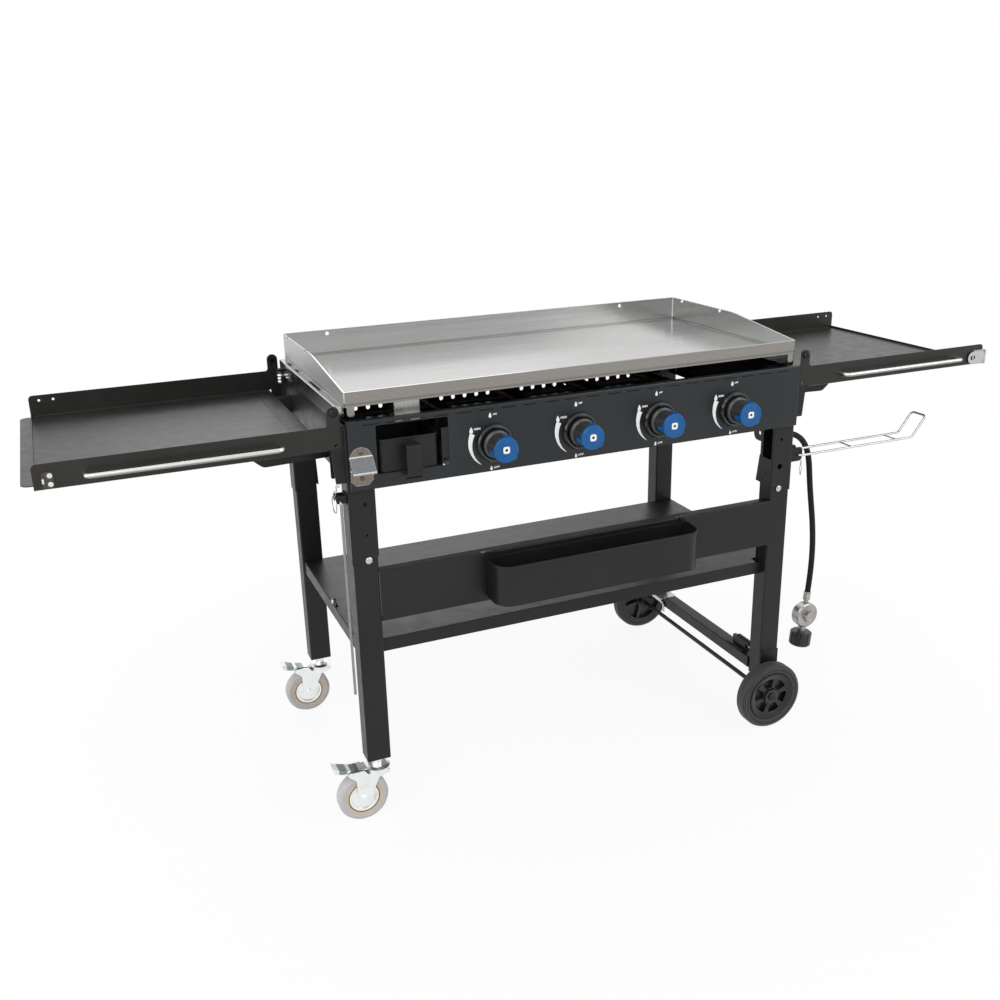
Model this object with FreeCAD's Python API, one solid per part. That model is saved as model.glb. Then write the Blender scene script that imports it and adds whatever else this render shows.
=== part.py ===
import FreeCAD, Part
import math
import os

# Four-burner outdoor gas griddle station on a wheeled folding-leg frame, in millimetres.
# Origin: on the floor under the centre of the griddle plate. +X right, +Y to the rear, +Z up.

V = FreeCAD.Vector
X_AXIS = V(1, 0, 0)
Y_AXIS = V(0, 1, 0)
Z_AXIS = V(0, 0, 1)

# General sheet sizes and clearances
sheet = 1.2
seat_gap = 0.3
running_gap = 0.15
hole_gap = 0.2

# Griddle plate
plate_width = 940.0
plate_depth = 468.0
plate_sheet = 3.0
plate_underside = 828.5
plate_front_wall = 26.5
plate_rear_wall = 52.5
plate_wall_break_y = -12.0
plate_corner = 5.0
plate_notch_ys = (35.0, 190.0)
plate_notch_width = 9.0
plate_notch_depth = 8.0
plate_rear_hole_xs = (-377.0, 323.0)
plate_rear_hole_radius = 4.0
plate_foot_width = 13.0
plate_foot_drop = 17.0
grease_x = -353.0
grease_slot_length = 40.0
grease_slot_width = 12.0
grease_slot_from_front = 26.0

# Grease chute under the plate
chute_width = 50.0
chute_depth = 26.0
chute_bottom = 790.0
chute_sheet = 1.0

# Legs and sleeves
leg_centre_x = 451.0
frame_front_y = -240.0
frame_rear_y = 262.0
sleeve_width = 50.0
sleeve_depth = 44.0
sleeve_wall = 1.5
sleeve_top = 800.0
sleeve_bottom_outer = 538.0
sleeve_bottom_inner = 552.0
leg_wall = 1.5
leg_clearance = 0.4
leg_top = 604.0
left_leg_bottom = 130.0
right_leg_bottom = 100.0
leg_hole_x = 446.0
leg_hole_heights = (652.0, 593.0)
left_leg_hole_radii = (4.0, 2.2)
right_leg_hole_radii = (3.2, 6.0)
wing_top = 611.0
wing_flare = 9.0
lobe_depth = 54.0
lobe_height = 654.0
lobe_radius = 14.0
lobe_hole_radius = 4.0
wing_window_bottom = 609.0
wing_window_top = 676.0
wing_window_front = 4.0
wing_window_rear = 34.0
leg_rivet_height = 545.0
leg_rivet_radius = 4.0
leg_rivet_head = 6.5

# Zinc support rails beside the plate
rail_outer_x = 482.0
rail_width = 16.0
rail_height = 28.2
rail_sheet = 1.5
rail_front_y = -214.0
rail_rear_y = 232.0

# Front control panel
panel_half_width = 472.0
panel_front_y = -252.0
panel_bottom = 682.0
panel_top = 807.0
window_left_x = -422.0
window_right_x = -289.0
window_bottom = 707.3
window_top = 796.0
window_corner = 3.0
relief_height = 799.0
relief_length = 28.0
relief_width = 1.5
relief_count = 21
relief_pitch = 43.0
spindle_hole_radius = 6.5

# Knobs and gas valves
knob_row_x = 57.5
knob_pitch = 172.4
knob_count = 4
knob_drop = 71.0
bezel_radius = 36.0
bezel_inner_radius = 28.0
bezel_height = 10.0
knob_skirt_radius = 26.5
knob_neck_radius = 21.5
knob_length = 42.0
knob_stand_off = 9.0
knob_scallop_radius = 16.0
cap_radius = 23.5
cap_thickness = 6.5
cap_lobe_reach = 24.6
cap_lobe_count = 3
cap_lobe_turn = 15.0
cap_lobe_width = 9.0
cap_lobe_length = 16.0
spindle_radius = 4.0
spindle_flat = 1.2
spindle_front_y = -296.0
spindle_rear_y = -230.0
valve_width = 28.0
valve_height = 38.0
valve_block_depth = 40.0
valve_barrel_radius = 11.0
valve_barrel_length = 40.0
valve_neck = 4.0
valve_nozzle_radius = 5.0
valve_nozzle_length = 12.0
manifold_radius = 9.0
manifold_y = -180.0
manifold_height = 712.0
manifold_left_x = -232.0
manifold_right_x = 400.0
fitting_radius = 8.5
fitting_length = 22.0

# Burners
burner_radius = 13.0
burner_wall = 1.2
burner_front_y = -158.0
burner_rear_y = 214.0
burner_port_count = 8
burner_port_width = 2.0

# Rear panel, side panels and heat shield
rear_panel_y = 240.0
rear_panel_bottom = 682.0
rear_flange = 20.0
vent_group_xs = (-268.0, -69.0, 129.0, 298.0)
vents_per_group = 5
vent_pitch = 28.3
vent_width = 9.0
vent_height = 24.0
vent_centre = 709.0
side_panel_bottom = 700.0
shield_y = -163.4
shield_left_x = -281.0
shield_right_x = 424.0
shield_below = 44.0
shield_above = 51.0
shield_flange = 9.0
shield_hole_radius = 7.0

# Grease cup and its holder
cup_left_x = -418.5
cup_right_x = -305.5
cup_front_y = -248.0
cup_depth = 116.0
cup_bottom = 707.8
cup_top = 768.0
cup_sheet = 1.2
cup_corner = 12.0
cup_rim = 1.6
cup_handle_x = -361.0
cup_handle_width = 28.0
cup_handle_reach = 26.0
cup_handle_top = 756.0
cup_handle_drop = 54.0
holder_ledge = 9.0

# Bottle opener
opener_x = -451.5
opener_top = 761.5
opener_width = 40.0
opener_sheet = 2.0
opener_hood_top = 745.0
opener_hood_bottom = 719.0
opener_hood_reach = 23.0
opener_plate_bottom = 692.0
opener_chamfer = 9.0
opener_screw_heights = (752.0, 705.0)
screw_head_radius = 4.0
screw_head_height = 1.8
screw_radius = 2.0

# Side shelves
hinge_x = 492.0
hinge_height = 824.0
shelf_sheet = 1.5
shelf_inner_x = 503.0
shelf_outer_x = 972.0
shelf_front_y = -240.0
shelf_rear_y = 262.0
shelf_bottom = hinge_height - 66.5
shelf_top = hinge_height - 23.5
shelf_ear_radius = 11.0
shelf_wall_corner = 8.0
shelf_end_lip = 6.0
shelf_end_flange = 20.0
shelf_flange_front_inset = 27.0
shelf_flange_rear_inset = 5.0
shelf_lock_hole_height = hinge_height - 58.0
pivot_bolt_radius = 4.0
pivot_head_radius = 7.0
pivot_head_height = 4.0
handle_start_x = 583.0
handle_end_x = 895.0
handle_height = hinge_height - 47.0
handle_radius = 4.0
handle_reach = 22.0
handle_bend = 10.0

# Latch between the folded shelves
hasp_barrel_x = 977.0
hasp_height = hinge_height - 51.0
hasp_barrel_radius = 2.3
hasp_stand_off = 3.3
hasp_pin_radius = 1.2
hasp_knuckle_length = 31.0
hasp_strap_length = 47.5
hasp_strap_width = 26.0
hasp_strap_thickness = 1.4
hasp_slot_length = 14.0
hasp_slot_width = 9.5
hasp_slot_reach = 34.0
catch_width = 17.0
catch_height = 27.0
catch_tab_length = 8.0
catch_tab_thickness = 3.0
catch_tab_reach = 5.5
catch_head_height = 0.6  # sunk heads, so the closed strap passes over them

# Hinge posts and shelf support arms
post_sheet = 2.0
post_width = 18.5
post_bottom = 696.0
post_return = 36.0
post_rear_drop = 8.0
arm_ys = (-164.0, 186.0)
arm_tip_x = 630.0
arm_tip_depth = 14.0
arm_root_depth = 32.0
arm_sheet = 2.0
arm_flange = 20.0

# Front beam and condiment bin
beam_top = 520.0
beam_bottom = 420.0
beam_flange = 22.0
bin_half_width = 220.0
bin_front_y = -305.0
bin_rear_y = -241.6
bin_bottom = 430.0
bin_top = 510.0
bin_corner = 32.0
bin_rim = 2.2
bin_hook_x = 214.5
bin_hook_width = 22.0
bin_hook_drop = 9.0

# Lower shelf
low_shelf_half_width = 470.0
low_shelf_front_y = -219.0
low_shelf_bottom = 348.0
low_shelf_lip = 26.0
shelf_clip_sheet = 2.0
shelf_clip_width = 30.0
shelf_clip_rise = 10.0
shelf_clip_height = 34.0
shelf_clip_y = -30.0

# Low cross tube and axle on the right
cross_tube_inner_x = 425.0
cross_tube_width = 30.0
cross_tube_top = 135.0
cross_tube_depth = 27.0
cross_tube_wall = 1.5
axle_x = 432.0
axle_radius = 5.0
wheel_radius = 75.0
wheel_width = 30.0
wheel_hub_radius = 55.0
wheel_bore_wall = 9.0
wheel_gap = 14.0
wheel_spoke_count = 6
push_nut_radius = 9.0
push_nut_height = 5.0
tank_rod_rear_y = 214.0
tank_rod_run = 57.0
tank_rod_radius = 3.0

# Casters on the left
caster_radius = 50.0
caster_width = 28.0
caster_trail = 34.0
caster_rim_radius = 29.5
caster_bore = 5.0
fork_sheet = 2.5
fork_gap = 1.5
fork_top = 103.0
fork_top_radius = 23.0
bearing_height = 9.0
collar_radius = 10.0
cheek_rise = 9.0
stem_radius = 6.0
stem_length = 40.0
pedal_length = 46.0
pedal_width = 26.0
pedal_sheet = 2.5
pedal_pivot_radius = 2.5
pedal_pivot_reach = 44.0
pedal_pivot_rise = 4.0
pedal_rise = 11.0

# Wire arms
arm_pivot_x = 495.0
arm_pivot_height = 611.0
tool_pivot_x = 489.5
tool_pivot_height = 664.0
wire_radius = 2.5
wire_spread = 42.0
wire_centre_y = -220.0
wire_length = 300.0
wire_upturn = 44.0
wire_upturn_run = 34.0
cross_wire_xs = (632.0, 753.0)
cross_wire_radius = 1.5
tool_rod_length = 380.0
bracket_sheet = 2.0
bracket_reach = 32.0
bracket_height = 42.0
tool_bracket_reach = 19.0
tool_bracket_height = 20.0
bracket_front_inset = 8.5
bracket_rear_inset = 13.0

# Gas hose, regulator and cylinder nut
hose_radius = 6.4
hose_start = V(408.0, -176.0, 694.0)
hose_route = (
    V(408.0, -176.0, 694.0),
    V(438.0, -175.0, 664.0),
    V(494.0, -171.0, 643.0),
    V(550.0, -165.0, 630.0),
    V(583.0, -161.0, 587.0),
    V(594.0, -160.0, 502.0),
    V(614.0, -159.0, 394.0),
    V(617.0, -159.5, 302.0),
    V(611.0, -160.0, 244.0),
)
ferrule_radius = 8.0
ferrule_length = 20.0
regulator_radius = 29.5
regulator_depth = 26.0
regulator_drop = 56.0
bonnet_radius = 13.0
bonnet_height = 9.0
nut_radius = 24.5
nut_length = 34.0
nut_drop = 98.0
nut_grip_count = 8
nut_grip_depth = 2.0
coupling_radius = 16.65
coupling_depth = 22.0

# Places worked out from the sizes above
plate_front_y = -plate_depth / 2
plate_rear_y = plate_depth / 2
plate_front_top = plate_underside + plate_front_wall
plate_rear_top = plate_underside + plate_rear_wall
grease_y = plate_front_y + grease_slot_from_front
rail_inner_x = rail_outer_x - rail_width
sleeve_inner_x = leg_centre_x - sleeve_width / 2
sleeve_outer_x = leg_centre_x + sleeve_width / 2
leg_width = sleeve_width - 2 * sleeve_wall - 2 * leg_clearance
leg_depth = sleeve_depth - 2 * sleeve_wall - 2 * leg_clearance
leg_inner_x = leg_centre_x - leg_width / 2
leg_outer_x = leg_centre_x + leg_width / 2
front_leg_y = frame_front_y + sleeve_depth / 2
rear_leg_y = frame_rear_y - sleeve_depth / 2
knob_height = panel_top - knob_drop
knob_xs = [knob_row_x + (k - (knob_count - 1) / 2) * knob_pitch for k in range(knob_count)]
panel_back_y = panel_front_y + sheet
knob_rear_y = panel_front_y - knob_stand_off
knob_front_y = knob_rear_y - knob_length
valve_front_y = panel_back_y + valve_neck
valve_block_rear_y = valve_front_y + valve_block_depth
valve_barrel_rear_y = valve_block_rear_y + valve_barrel_length
front_wheel_y = frame_front_y - wheel_gap - wheel_width / 2
rear_wheel_y = frame_rear_y + wheel_gap + wheel_width / 2
hasp_y = shelf_front_y - hasp_stand_off


def block(x0, x1, y0, y1, z0, z1):
    """A box between two corners."""
    return Part.makeBox(x1 - x0, y1 - y0, z1 - z0, V(x0, y0, z0))


def rod(start, end, radius):
    """A round bar between two points."""
    span = end - start
    return Part.makeCylinder(radius, span.Length, start, span)


def pipe(start, end, outer, inner):
    """A round tube between two points."""
    return rod(start, end, outer).cut(rod(start, end, inner))


def prism(points, push):
    """A flat outline of straight edges pushed along a vector."""
    return Part.Face(Part.makePolygon(points + [points[0]])).extrude(push)


def plate_xz(points, y0, y1):
    """A plate whose outline lies in X and Z."""
    return prism([V(x, y0, z) for x, z in points], V(0, y1 - y0, 0))


def plate_yz(points, x0, x1):
    """A plate whose outline lies in Y and Z."""
    return prism([V(x0, y, z) for y, z in points], V(x1 - x0, 0, 0))


def fuse(shapes):
    """One solid out of touching or overlapping ones."""
    return shapes[0].multiFuse(shapes[1:]).removeSplitter()


def cut_all(shape, tools):
    """A shape with several others taken out of it."""
    return shape.cut(Part.makeCompound(tools))


def straight_edges(shape, axis, picks=None):
    """Straight edges of a shape that run along an axis, and whose middle passes a test."""
    found = []
    for edge in shape.Edges:
        if not isinstance(edge.Curve, Part.Line):
            continue
        along = (edge.Vertexes[-1].Point - edge.Vertexes[0].Point).normalize()
        if abs(abs(along.dot(axis)) - 1) > 1e-6:
            continue
        middle = edge.CenterOfMass
        if picks is None or picks(middle):
            found.append(edge)
    return found


def rounded(shape, radius, axis, picks=None):
    """A shape with its straight edges along an axis rounded."""
    edges = straight_edges(shape, axis, picks)
    return shape.makeFillet(radius, edges) if edges else shape


def slot(centre, length, width, along, through, depth):
    """A round-ended cutter: length along one axis, pushed through along another."""
    half = (length - width) / 2
    side = through.cross(along)
    ends = [centre - along * half, centre + along * half]
    corners = [
        ends[0] - side * (width / 2),
        ends[1] - side * (width / 2),
        ends[1] + side * (width / 2),
        ends[0] + side * (width / 2),
    ]
    first = Part.makeCylinder(width / 2, depth, ends[0], through)
    second = Part.makeCylinder(width / 2, depth, ends[1], through)
    return prism(corners, through * depth).multiFuse([first, second]).removeSplitter()


def turned(profile, centre, axis, radial):
    """A solid of revolution from points given as (distance along the axis, radius)."""
    points = [centre + axis * along + radial * out for along, out in profile]
    face = Part.Face(Part.makePolygon(points + [points[0]]))
    return face.revolve(centre, axis, 360)


def mirrored(shape):
    """The same piece on the other side, left for right."""
    return shape.mirror(V(0, 0, 0), X_AXIS)


def bent_path(points, radii):
    """Straight runs joined by tangent arcs, as one wire."""
    edges = []
    here = points[0]
    for k in range(1, len(points) - 1):
        before = (points[k - 1] - points[k]).normalize()
        after = (points[k + 1] - points[k]).normalize()
        half_turn = (math.pi - before.getAngle(after)) / 2
        back = radii[k - 1] * math.tan(half_turn)
        arc_start = points[k] + before * back
        arc_end = points[k] + after * back
        inward = (before + after).normalize()
        arc_middle = points[k] + inward * (radii[k - 1] / math.cos(half_turn) - radii[k - 1])
        edges.append(Part.LineSegment(here, arc_start).toShape())
        edges.append(Part.Arc(arc_start, arc_middle, arc_end).toShape())
        here = arc_end
    edges.append(Part.LineSegment(here, points[-1]).toShape())
    return Part.Wire(edges)


def bar_along(path, radius):
    """A round bar swept along a wire."""
    start = path.Edges[0].valueAt(path.Edges[0].FirstParameter)
    heading = path.Edges[0].tangentAt(path.Edges[0].FirstParameter)
    ring = Part.Wire([Part.makeCircle(radius, start, heading)])
    return path.makePipeShell([ring], True, False)


def bent_bar(points, bend, radius):
    """A round bar bent at each inner point with one bend radius, from rods and ring sections."""
    pieces = []
    for edge in bent_path(points, [bend] * (len(points) - 2)).Edges:
        start = edge.valueAt(edge.FirstParameter)
        if isinstance(edge.Curve, Part.Line):
            pieces.append(rod(start, edge.valueAt(edge.LastParameter), radius))
            continue
        heading = edge.tangentAt(edge.FirstParameter)
        disc = Part.Face(Part.Wire([Part.makeCircle(radius, start, heading)]))
        turn = math.degrees(edge.Length / edge.Curve.Radius)
        pieces.append(disc.revolve(edge.Curve.Center, edge.Curve.Axis, turn))
    return fuse(pieces)


def rounded_head(centre, outward, radius, height):
    """Low tapered screw or rivet head standing on a face."""
    base = rod(centre, centre + outward * height / 2, radius)
    crown = Part.makeCone(
        radius, radius * 0.7, height / 2, centre + outward * height / 2, outward
    )
    return fuse([base, crown])


def save(name, solids):
    """Write one sub-part; several separate solids of one kind share a file."""
    if isinstance(solids, list):
        flat = []
        for one in solids:
            flat.extend(one.Solids)
        shape = Part.makeCompound(flat)
    else:
        shape = solids
    if not shape.isValid():
        print("not valid:", name)
    shape.exportStep("parts/" + name + ".step")


def wall_top(y):
    """Height of the griddle plate's side wall at a depth."""
    if y > plate_wall_break_y:
        return plate_rear_top
    share = (y - plate_front_y) / (plate_wall_break_y - plate_front_y)
    return plate_front_top + share * (plate_rear_top - plate_front_top)


def griddle_plate():
    """Flat steel plate with a high rear wall and side walls that slope to the front."""
    half = plate_width / 2
    floor_top = plate_underside + plate_sheet
    outline = [
        (plate_front_y, plate_underside),
        (plate_rear_y, plate_underside),
        (plate_rear_y, plate_rear_top),
        (plate_wall_break_y, plate_rear_top),
        (plate_front_y, plate_front_top),
    ]
    shape = plate_yz(outline, -half, half)
    shape = rounded(
        shape, 300, X_AXIS, lambda m: m.z > plate_rear_top - 1 and m.y < plate_rear_y - 1
    )
    shape = rounded(shape, plate_corner, Z_AXIS)
    feet = []
    for x0 in (-half + plate_corner, half - plate_corner - plate_foot_width):
        foot = block(
            x0,
            x0 + plate_foot_width,
            plate_front_y,
            plate_front_y + plate_sheet,
            plate_underside - plate_foot_drop,
            plate_underside + 1,
        )
        feet.append(rounded(foot, 5, Y_AXIS, lambda m: m.z < plate_underside - plate_foot_drop + 1))
    shape = fuse([shape] + feet)
    pocket = block(
        -half + plate_sheet,
        half - plate_sheet,
        plate_front_y + plate_sheet,
        plate_rear_y - plate_sheet,
        floor_top,
        plate_rear_top + 10,
    )
    pocket = rounded(pocket, plate_corner - plate_sheet, Z_AXIS)
    tools = [pocket]
    for y in plate_notch_ys:
        centre = V(-half - 1, y, wall_top(y))
        tools.append(
            slot(centre, 2 * plate_notch_depth, plate_notch_width, Z_AXIS, X_AXIS, plate_width + 2)
        )
    for x in plate_rear_hole_xs:
        start = V(x, plate_rear_y - plate_sheet - 1, plate_rear_top - 2 * plate_rear_hole_radius)
        tools.append(rod(start, start + Y_AXIS * (plate_sheet + 2), plate_rear_hole_radius))
    drain = V(grease_x, grease_y, plate_underside - 1)
    tools.append(
        slot(drain, grease_slot_length, grease_slot_width, X_AXIS, Z_AXIS, plate_sheet + 2)
    )
    return cut_all(shape, tools)


def grease_chute():
    """Open sheet funnel that leads grease from the plate's slot down to the cup."""
    x0 = grease_x - chute_width / 2
    x1 = grease_x + chute_width / 2
    y0 = grease_y - chute_depth / 2
    y1 = grease_y + chute_depth / 2
    shape = rounded(block(x0, x1, y0, y1, chute_bottom, plate_underside), 4, Z_AXIS)
    inside = block(
        x0 + chute_sheet,
        x1 - chute_sheet,
        y0 + chute_sheet,
        y1 - chute_sheet,
        chute_bottom + chute_sheet,
        plate_underside + 1,
    )
    inside = rounded(inside, 3, Z_AXIS)
    outlet = rod(V(grease_x, grease_y, chute_bottom - 1), V(grease_x, grease_y, chute_bottom + 20), 8)
    return cut_all(shape, [inside, outlet])


def front_panel():
    """Bent sheet control panel with a window, knob holes and a row of bend reliefs."""
    outer = block(
        -panel_half_width, panel_half_width, panel_front_y, frame_front_y, panel_bottom, panel_top
    )
    front = [e for e in outer.Edges if abs(e.CenterOfMass.y - panel_front_y) < 0.1]
    outer = outer.makeFillet(2 * sheet, front)
    inner = block(
        -panel_half_width + sheet,
        panel_half_width - sheet,
        panel_back_y,
        frame_front_y + 20,
        panel_bottom + sheet,
        panel_top - sheet,
    )
    inner_front = [e for e in inner.Edges if abs(e.CenterOfMass.y - panel_back_y) < 0.1]
    inner = inner.makeFillet(sheet, inner_front)
    start_y = panel_front_y - 1
    window = block(window_left_x, window_right_x, start_y, start_y + 5, window_bottom, window_top)
    window = rounded(window, window_corner, Y_AXIS)
    tools = [inner, window]
    for k in range(relief_count):
        x = (k - (relief_count - 1) / 2) * relief_pitch
        centre = V(x, start_y, relief_height)
        tools.append(slot(centre, relief_length, relief_width, X_AXIS, Y_AXIS, 5))
    for x in knob_xs:
        tools.append(rod(V(x, start_y, knob_height), V(x, start_y + 5, knob_height), spindle_hole_radius))
    return cut_all(outer, tools)


def rear_panel():
    """Vented sheet panel between the rear sleeves, with flanges turned forward."""
    half = sleeve_inner_x
    top = plate_underside - seat_gap
    front_y = rear_panel_y - rear_flange
    outer = block(-half, half, front_y, rear_panel_y + sheet, rear_panel_bottom, top)
    inner = block(
        -half - 1, half + 1, front_y - 1, rear_panel_y, rear_panel_bottom + sheet, top - sheet
    )
    tools = [inner]
    for middle in vent_group_xs:
        for k in range(vents_per_group):
            x = middle + (k - (vents_per_group - 1) / 2) * vent_pitch
            centre = V(x, rear_panel_y - 1, vent_centre)
            tools.append(slot(centre, vent_height, vent_width, Z_AXIS, Y_AXIS, sheet + 2))
    return cut_all(outer, tools)


def side_panel():
    """Sheet side cover between the right-hand sleeves with flanges turned inward."""
    y0 = frame_front_y + sleeve_depth
    y1 = frame_rear_y - sleeve_depth
    x0 = sleeve_outer_x - 14
    outer = block(x0, sleeve_outer_x, y0, y1, side_panel_bottom, sleeve_top)
    inner = block(
        x0 - 1,
        sleeve_outer_x - sheet,
        y0 - 1,
        y1 + 1,
        side_panel_bottom + sheet,
        sleeve_top - sheet,
    )
    return outer.cut(inner)


def heat_shield():
    """Folded sheet between the valves and the burners, and the wall right of the cup's bay."""
    rear_y = shield_y + sheet
    bottom = knob_height - shield_below
    top = knob_height + shield_above
    wall = block(shield_left_x, shield_right_x, shield_y, rear_y, bottom, top)
    bay = block(
        shield_left_x,
        shield_left_x + sheet,
        panel_back_y + seat_gap,
        shield_y,
        bottom,
        top,
    )
    flange = block(
        shield_left_x,
        shield_right_x,
        shield_y,
        shield_y + shield_flange,
        bottom,
        bottom + sheet,
    )
    holes = []
    for x in knob_xs:
        start = V(x, shield_y - 1, knob_height)
        holes.append(rod(start, start + Y_AXIS * (sheet + 2), shield_hole_radius))
    return [cut_all(fuse([wall, flange]), holes), bay]


def support_rail():
    """Inverted zinc channel on the right-hand sleeves, slotted along its top."""
    top = sleeve_top + rail_height
    outer = block(rail_inner_x, rail_outer_x, rail_front_y, rail_rear_y, sleeve_top, top)
    outer = rounded(outer, 2, Y_AXIS, lambda m: m.z > top - 1)
    inner = block(
        rail_inner_x + rail_sheet,
        rail_outer_x - rail_sheet,
        rail_front_y + rail_sheet,
        rail_rear_y - rail_sheet,
        sleeve_top - 1,
        top - rail_sheet,
    )
    middle_x = (rail_inner_x + rail_outer_x) / 2
    tools = [inner]
    for y, length in ((171.0, 30.0), (105.0, 30.0), (-42.0, 84.0)):
        centre = V(middle_x, y, top - rail_sheet - 1)
        tools.append(slot(centre, length, 5, Y_AXIS, Z_AXIS, rail_sheet + 2))
    return cut_all(outer, tools)


def tube_section(x0, x1, y0, y1, z0, z1, wall, corner):
    """Upright rectangular tube with rounded corners."""
    outer = rounded(block(x0, x1, y0, y1, z0, z1), corner, Z_AXIS)
    inner = block(x0 + wall, x1 - wall, y0 + wall, y1 - wall, z0 - 1, z1 + 1)
    return outer.cut(rounded(inner, corner - wall + 0.2, Z_AXIS))


def leg_cutters(face_y, outward, radii):
    """Round cutters for the button holes and the rivet of a leg, drawn on the right."""
    start_y = face_y + outward * 1
    end_y = face_y - outward * 6
    tools = []
    for height, radius in zip(leg_hole_heights, radii):
        tools.append(rod(V(leg_hole_x, start_y, height), V(leg_hole_x, end_y, height), radius))
    tools.append(
        rod(
            V(leg_hole_x, start_y, leg_rivet_height),
            V(leg_hole_x, end_y, leg_rivet_height),
            leg_rivet_radius,
        )
    )
    return tools


def sleeve_wing(face_y, outward):
    """Flare and pivot lobe on a sleeve's inner wall, drawn on the right."""
    x0 = sleeve_inner_x
    x1 = sleeve_inner_x + sleeve_wall
    root_y = face_y - outward * (sleeve_depth - 5)
    lobe_y = face_y - outward * lobe_depth
    flare = [
        (root_y, wing_top),
        (face_y - outward * sleeve_depth, wing_top),
        (face_y - outward * (sleeve_depth + wing_flare), sleeve_bottom_inner),
        (root_y, sleeve_bottom_inner),
    ]
    neck = block(
        x0,
        x1,
        min(root_y, lobe_y),
        max(root_y, lobe_y),
        lobe_height - lobe_radius,
        lobe_height + lobe_radius,
    )
    lobe = rod(V(x0, lobe_y, lobe_height), V(x1, lobe_y, lobe_height), lobe_radius)
    return fuse([plate_yz(flare, x0, x1), neck, lobe])


def wing_cutters(face_y, outward):
    """Cutters for the window, the pivot hole and the pin hole of a sleeve's inner wall."""
    x0 = sleeve_inner_x - 1
    x1 = sleeve_inner_x + sleeve_wall + 1
    front_y = face_y - outward * wing_window_front
    rear_y = face_y - outward * wing_window_rear
    window = block(
        x0, x1, min(front_y, rear_y), max(front_y, rear_y), wing_window_bottom, wing_window_top
    )
    pivot_y = face_y - outward * (lobe_depth - 6)
    pivot = rod(V(x0, pivot_y, lobe_height + 3), V(x1, pivot_y, lobe_height + 3), lobe_hole_radius)
    pin_y = face_y - outward * (wing_window_front + wing_window_rear) / 2
    pin_z = (wing_window_bottom + leg_rivet_height) / 2
    pin = rod(V(x0, pin_y, pin_z), V(x1, pin_y, pin_z), leg_rivet_radius / 2)
    return [rounded(window, 3, X_AXIS), pivot, pin]


def leg_sleeve(middle_y, outward, radii):
    """Sleeve drawn on the right; outward is -1 in front and 1 at the rear."""
    y0 = middle_y - sleeve_depth / 2
    y1 = middle_y + sleeve_depth / 2
    low = min(sleeve_bottom_inner, sleeve_bottom_outer) - 5
    shape = tube_section(
        sleeve_inner_x, sleeve_outer_x, y0, y1, low, sleeve_top, sleeve_wall, 3
    )
    slant = [
        (sleeve_inner_x - 1, low - 1),
        (sleeve_outer_x + 1, low - 1),
        (sleeve_outer_x + 1, sleeve_bottom_outer),
        (sleeve_inner_x - 1, sleeve_bottom_inner),
    ]
    face_y = middle_y + outward * sleeve_depth / 2
    shape = shape.cut(plate_xz(slant, y0 - 1, y1 + 1))
    shape = fuse([shape, sleeve_wing(face_y, outward)])
    return cut_all(shape, wing_cutters(face_y, outward) + leg_cutters(face_y, outward, radii))


def lower_leg(middle_y, outward, bottom, radii):
    """Right-hand inner leg tube that runs up inside its sleeve."""
    y0 = middle_y - leg_depth / 2
    y1 = middle_y + leg_depth / 2
    shape = tube_section(leg_inner_x, leg_outer_x, y0, y1, bottom, leg_top, leg_wall, 3)
    face_y = middle_y + outward * sleeve_depth / 2
    return cut_all(shape, leg_cutters(face_y, outward, radii))


def axle_plate(middle_y, outward):
    """Plate on the outer face of a right-hand leg that carries the wheel axle."""
    face_y = middle_y + outward * leg_depth / 2
    y0 = min(face_y, face_y + outward * 2)
    points = [
        (axle_x - 13, wheel_radius),
        (axle_x - 13, wheel_radius + 21),
        (leg_inner_x, 120),
        (leg_inner_x, 165),
        (leg_outer_x, 165),
        (leg_outer_x, 100),
        (axle_x + 13, wheel_radius - 9),
    ]
    shape = plate_xz(points, y0, y0 + 2)
    shape = shape.fuse(rod(V(axle_x, y0, wheel_radius), V(axle_x, y0 + 2, wheel_radius), 14))
    return shape.removeSplitter()


def caster_seat(middle_y):
    """Plug in the foot of a left-hand leg that holds a caster stem, drawn on the right."""
    y0 = middle_y - leg_depth / 2 + leg_wall
    y1 = middle_y + leg_depth / 2 - leg_wall
    x0 = leg_inner_x + leg_wall
    x1 = leg_outer_x - leg_wall
    plug = rounded(block(x0, x1, y0, y1, left_leg_bottom, left_leg_bottom + 12), 1.7, Z_AXIS)
    centre = V(leg_centre_x, middle_y, left_leg_bottom - 1)
    return plug.cut(rod(centre, centre + Z_AXIS * 14, stem_radius + running_gap))


def lower_legs():
    """Two left legs with caster seats and two right legs with axle plates."""
    legs = []
    for middle_y, outward in ((front_leg_y, -1), (rear_leg_y, 1)):
        left = lower_leg(middle_y, outward, left_leg_bottom, left_leg_hole_radii)
        legs.append(mirrored(fuse([left, caster_seat(middle_y)])))
        right = lower_leg(middle_y, outward, right_leg_bottom, right_leg_hole_radii)
        start = V(axle_x, middle_y + outward * 30, wheel_radius)
        hole = rod(start, start - Y_AXIS * outward * 60, axle_radius)
        legs.append(fuse([right, axle_plate(middle_y, outward)]).cut(hole))
    return legs


def cross_tube():
    """Low tube between the two right-hand legs."""
    y0 = front_leg_y + leg_depth / 2
    y1 = rear_leg_y - leg_depth / 2
    x1 = cross_tube_inner_x + cross_tube_width
    z0 = cross_tube_top - cross_tube_depth
    outer = block(cross_tube_inner_x, x1, y0, y1, z0, cross_tube_top)
    outer = rounded(outer, 3, Y_AXIS)
    wall = cross_tube_wall
    inner = block(
        cross_tube_inner_x + wall, x1 - wall, y0 - 1, y1 + 1, z0 + wall, cross_tube_top - wall
    )
    return outer.cut(rounded(inner, 1.5, Y_AXIS))


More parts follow.
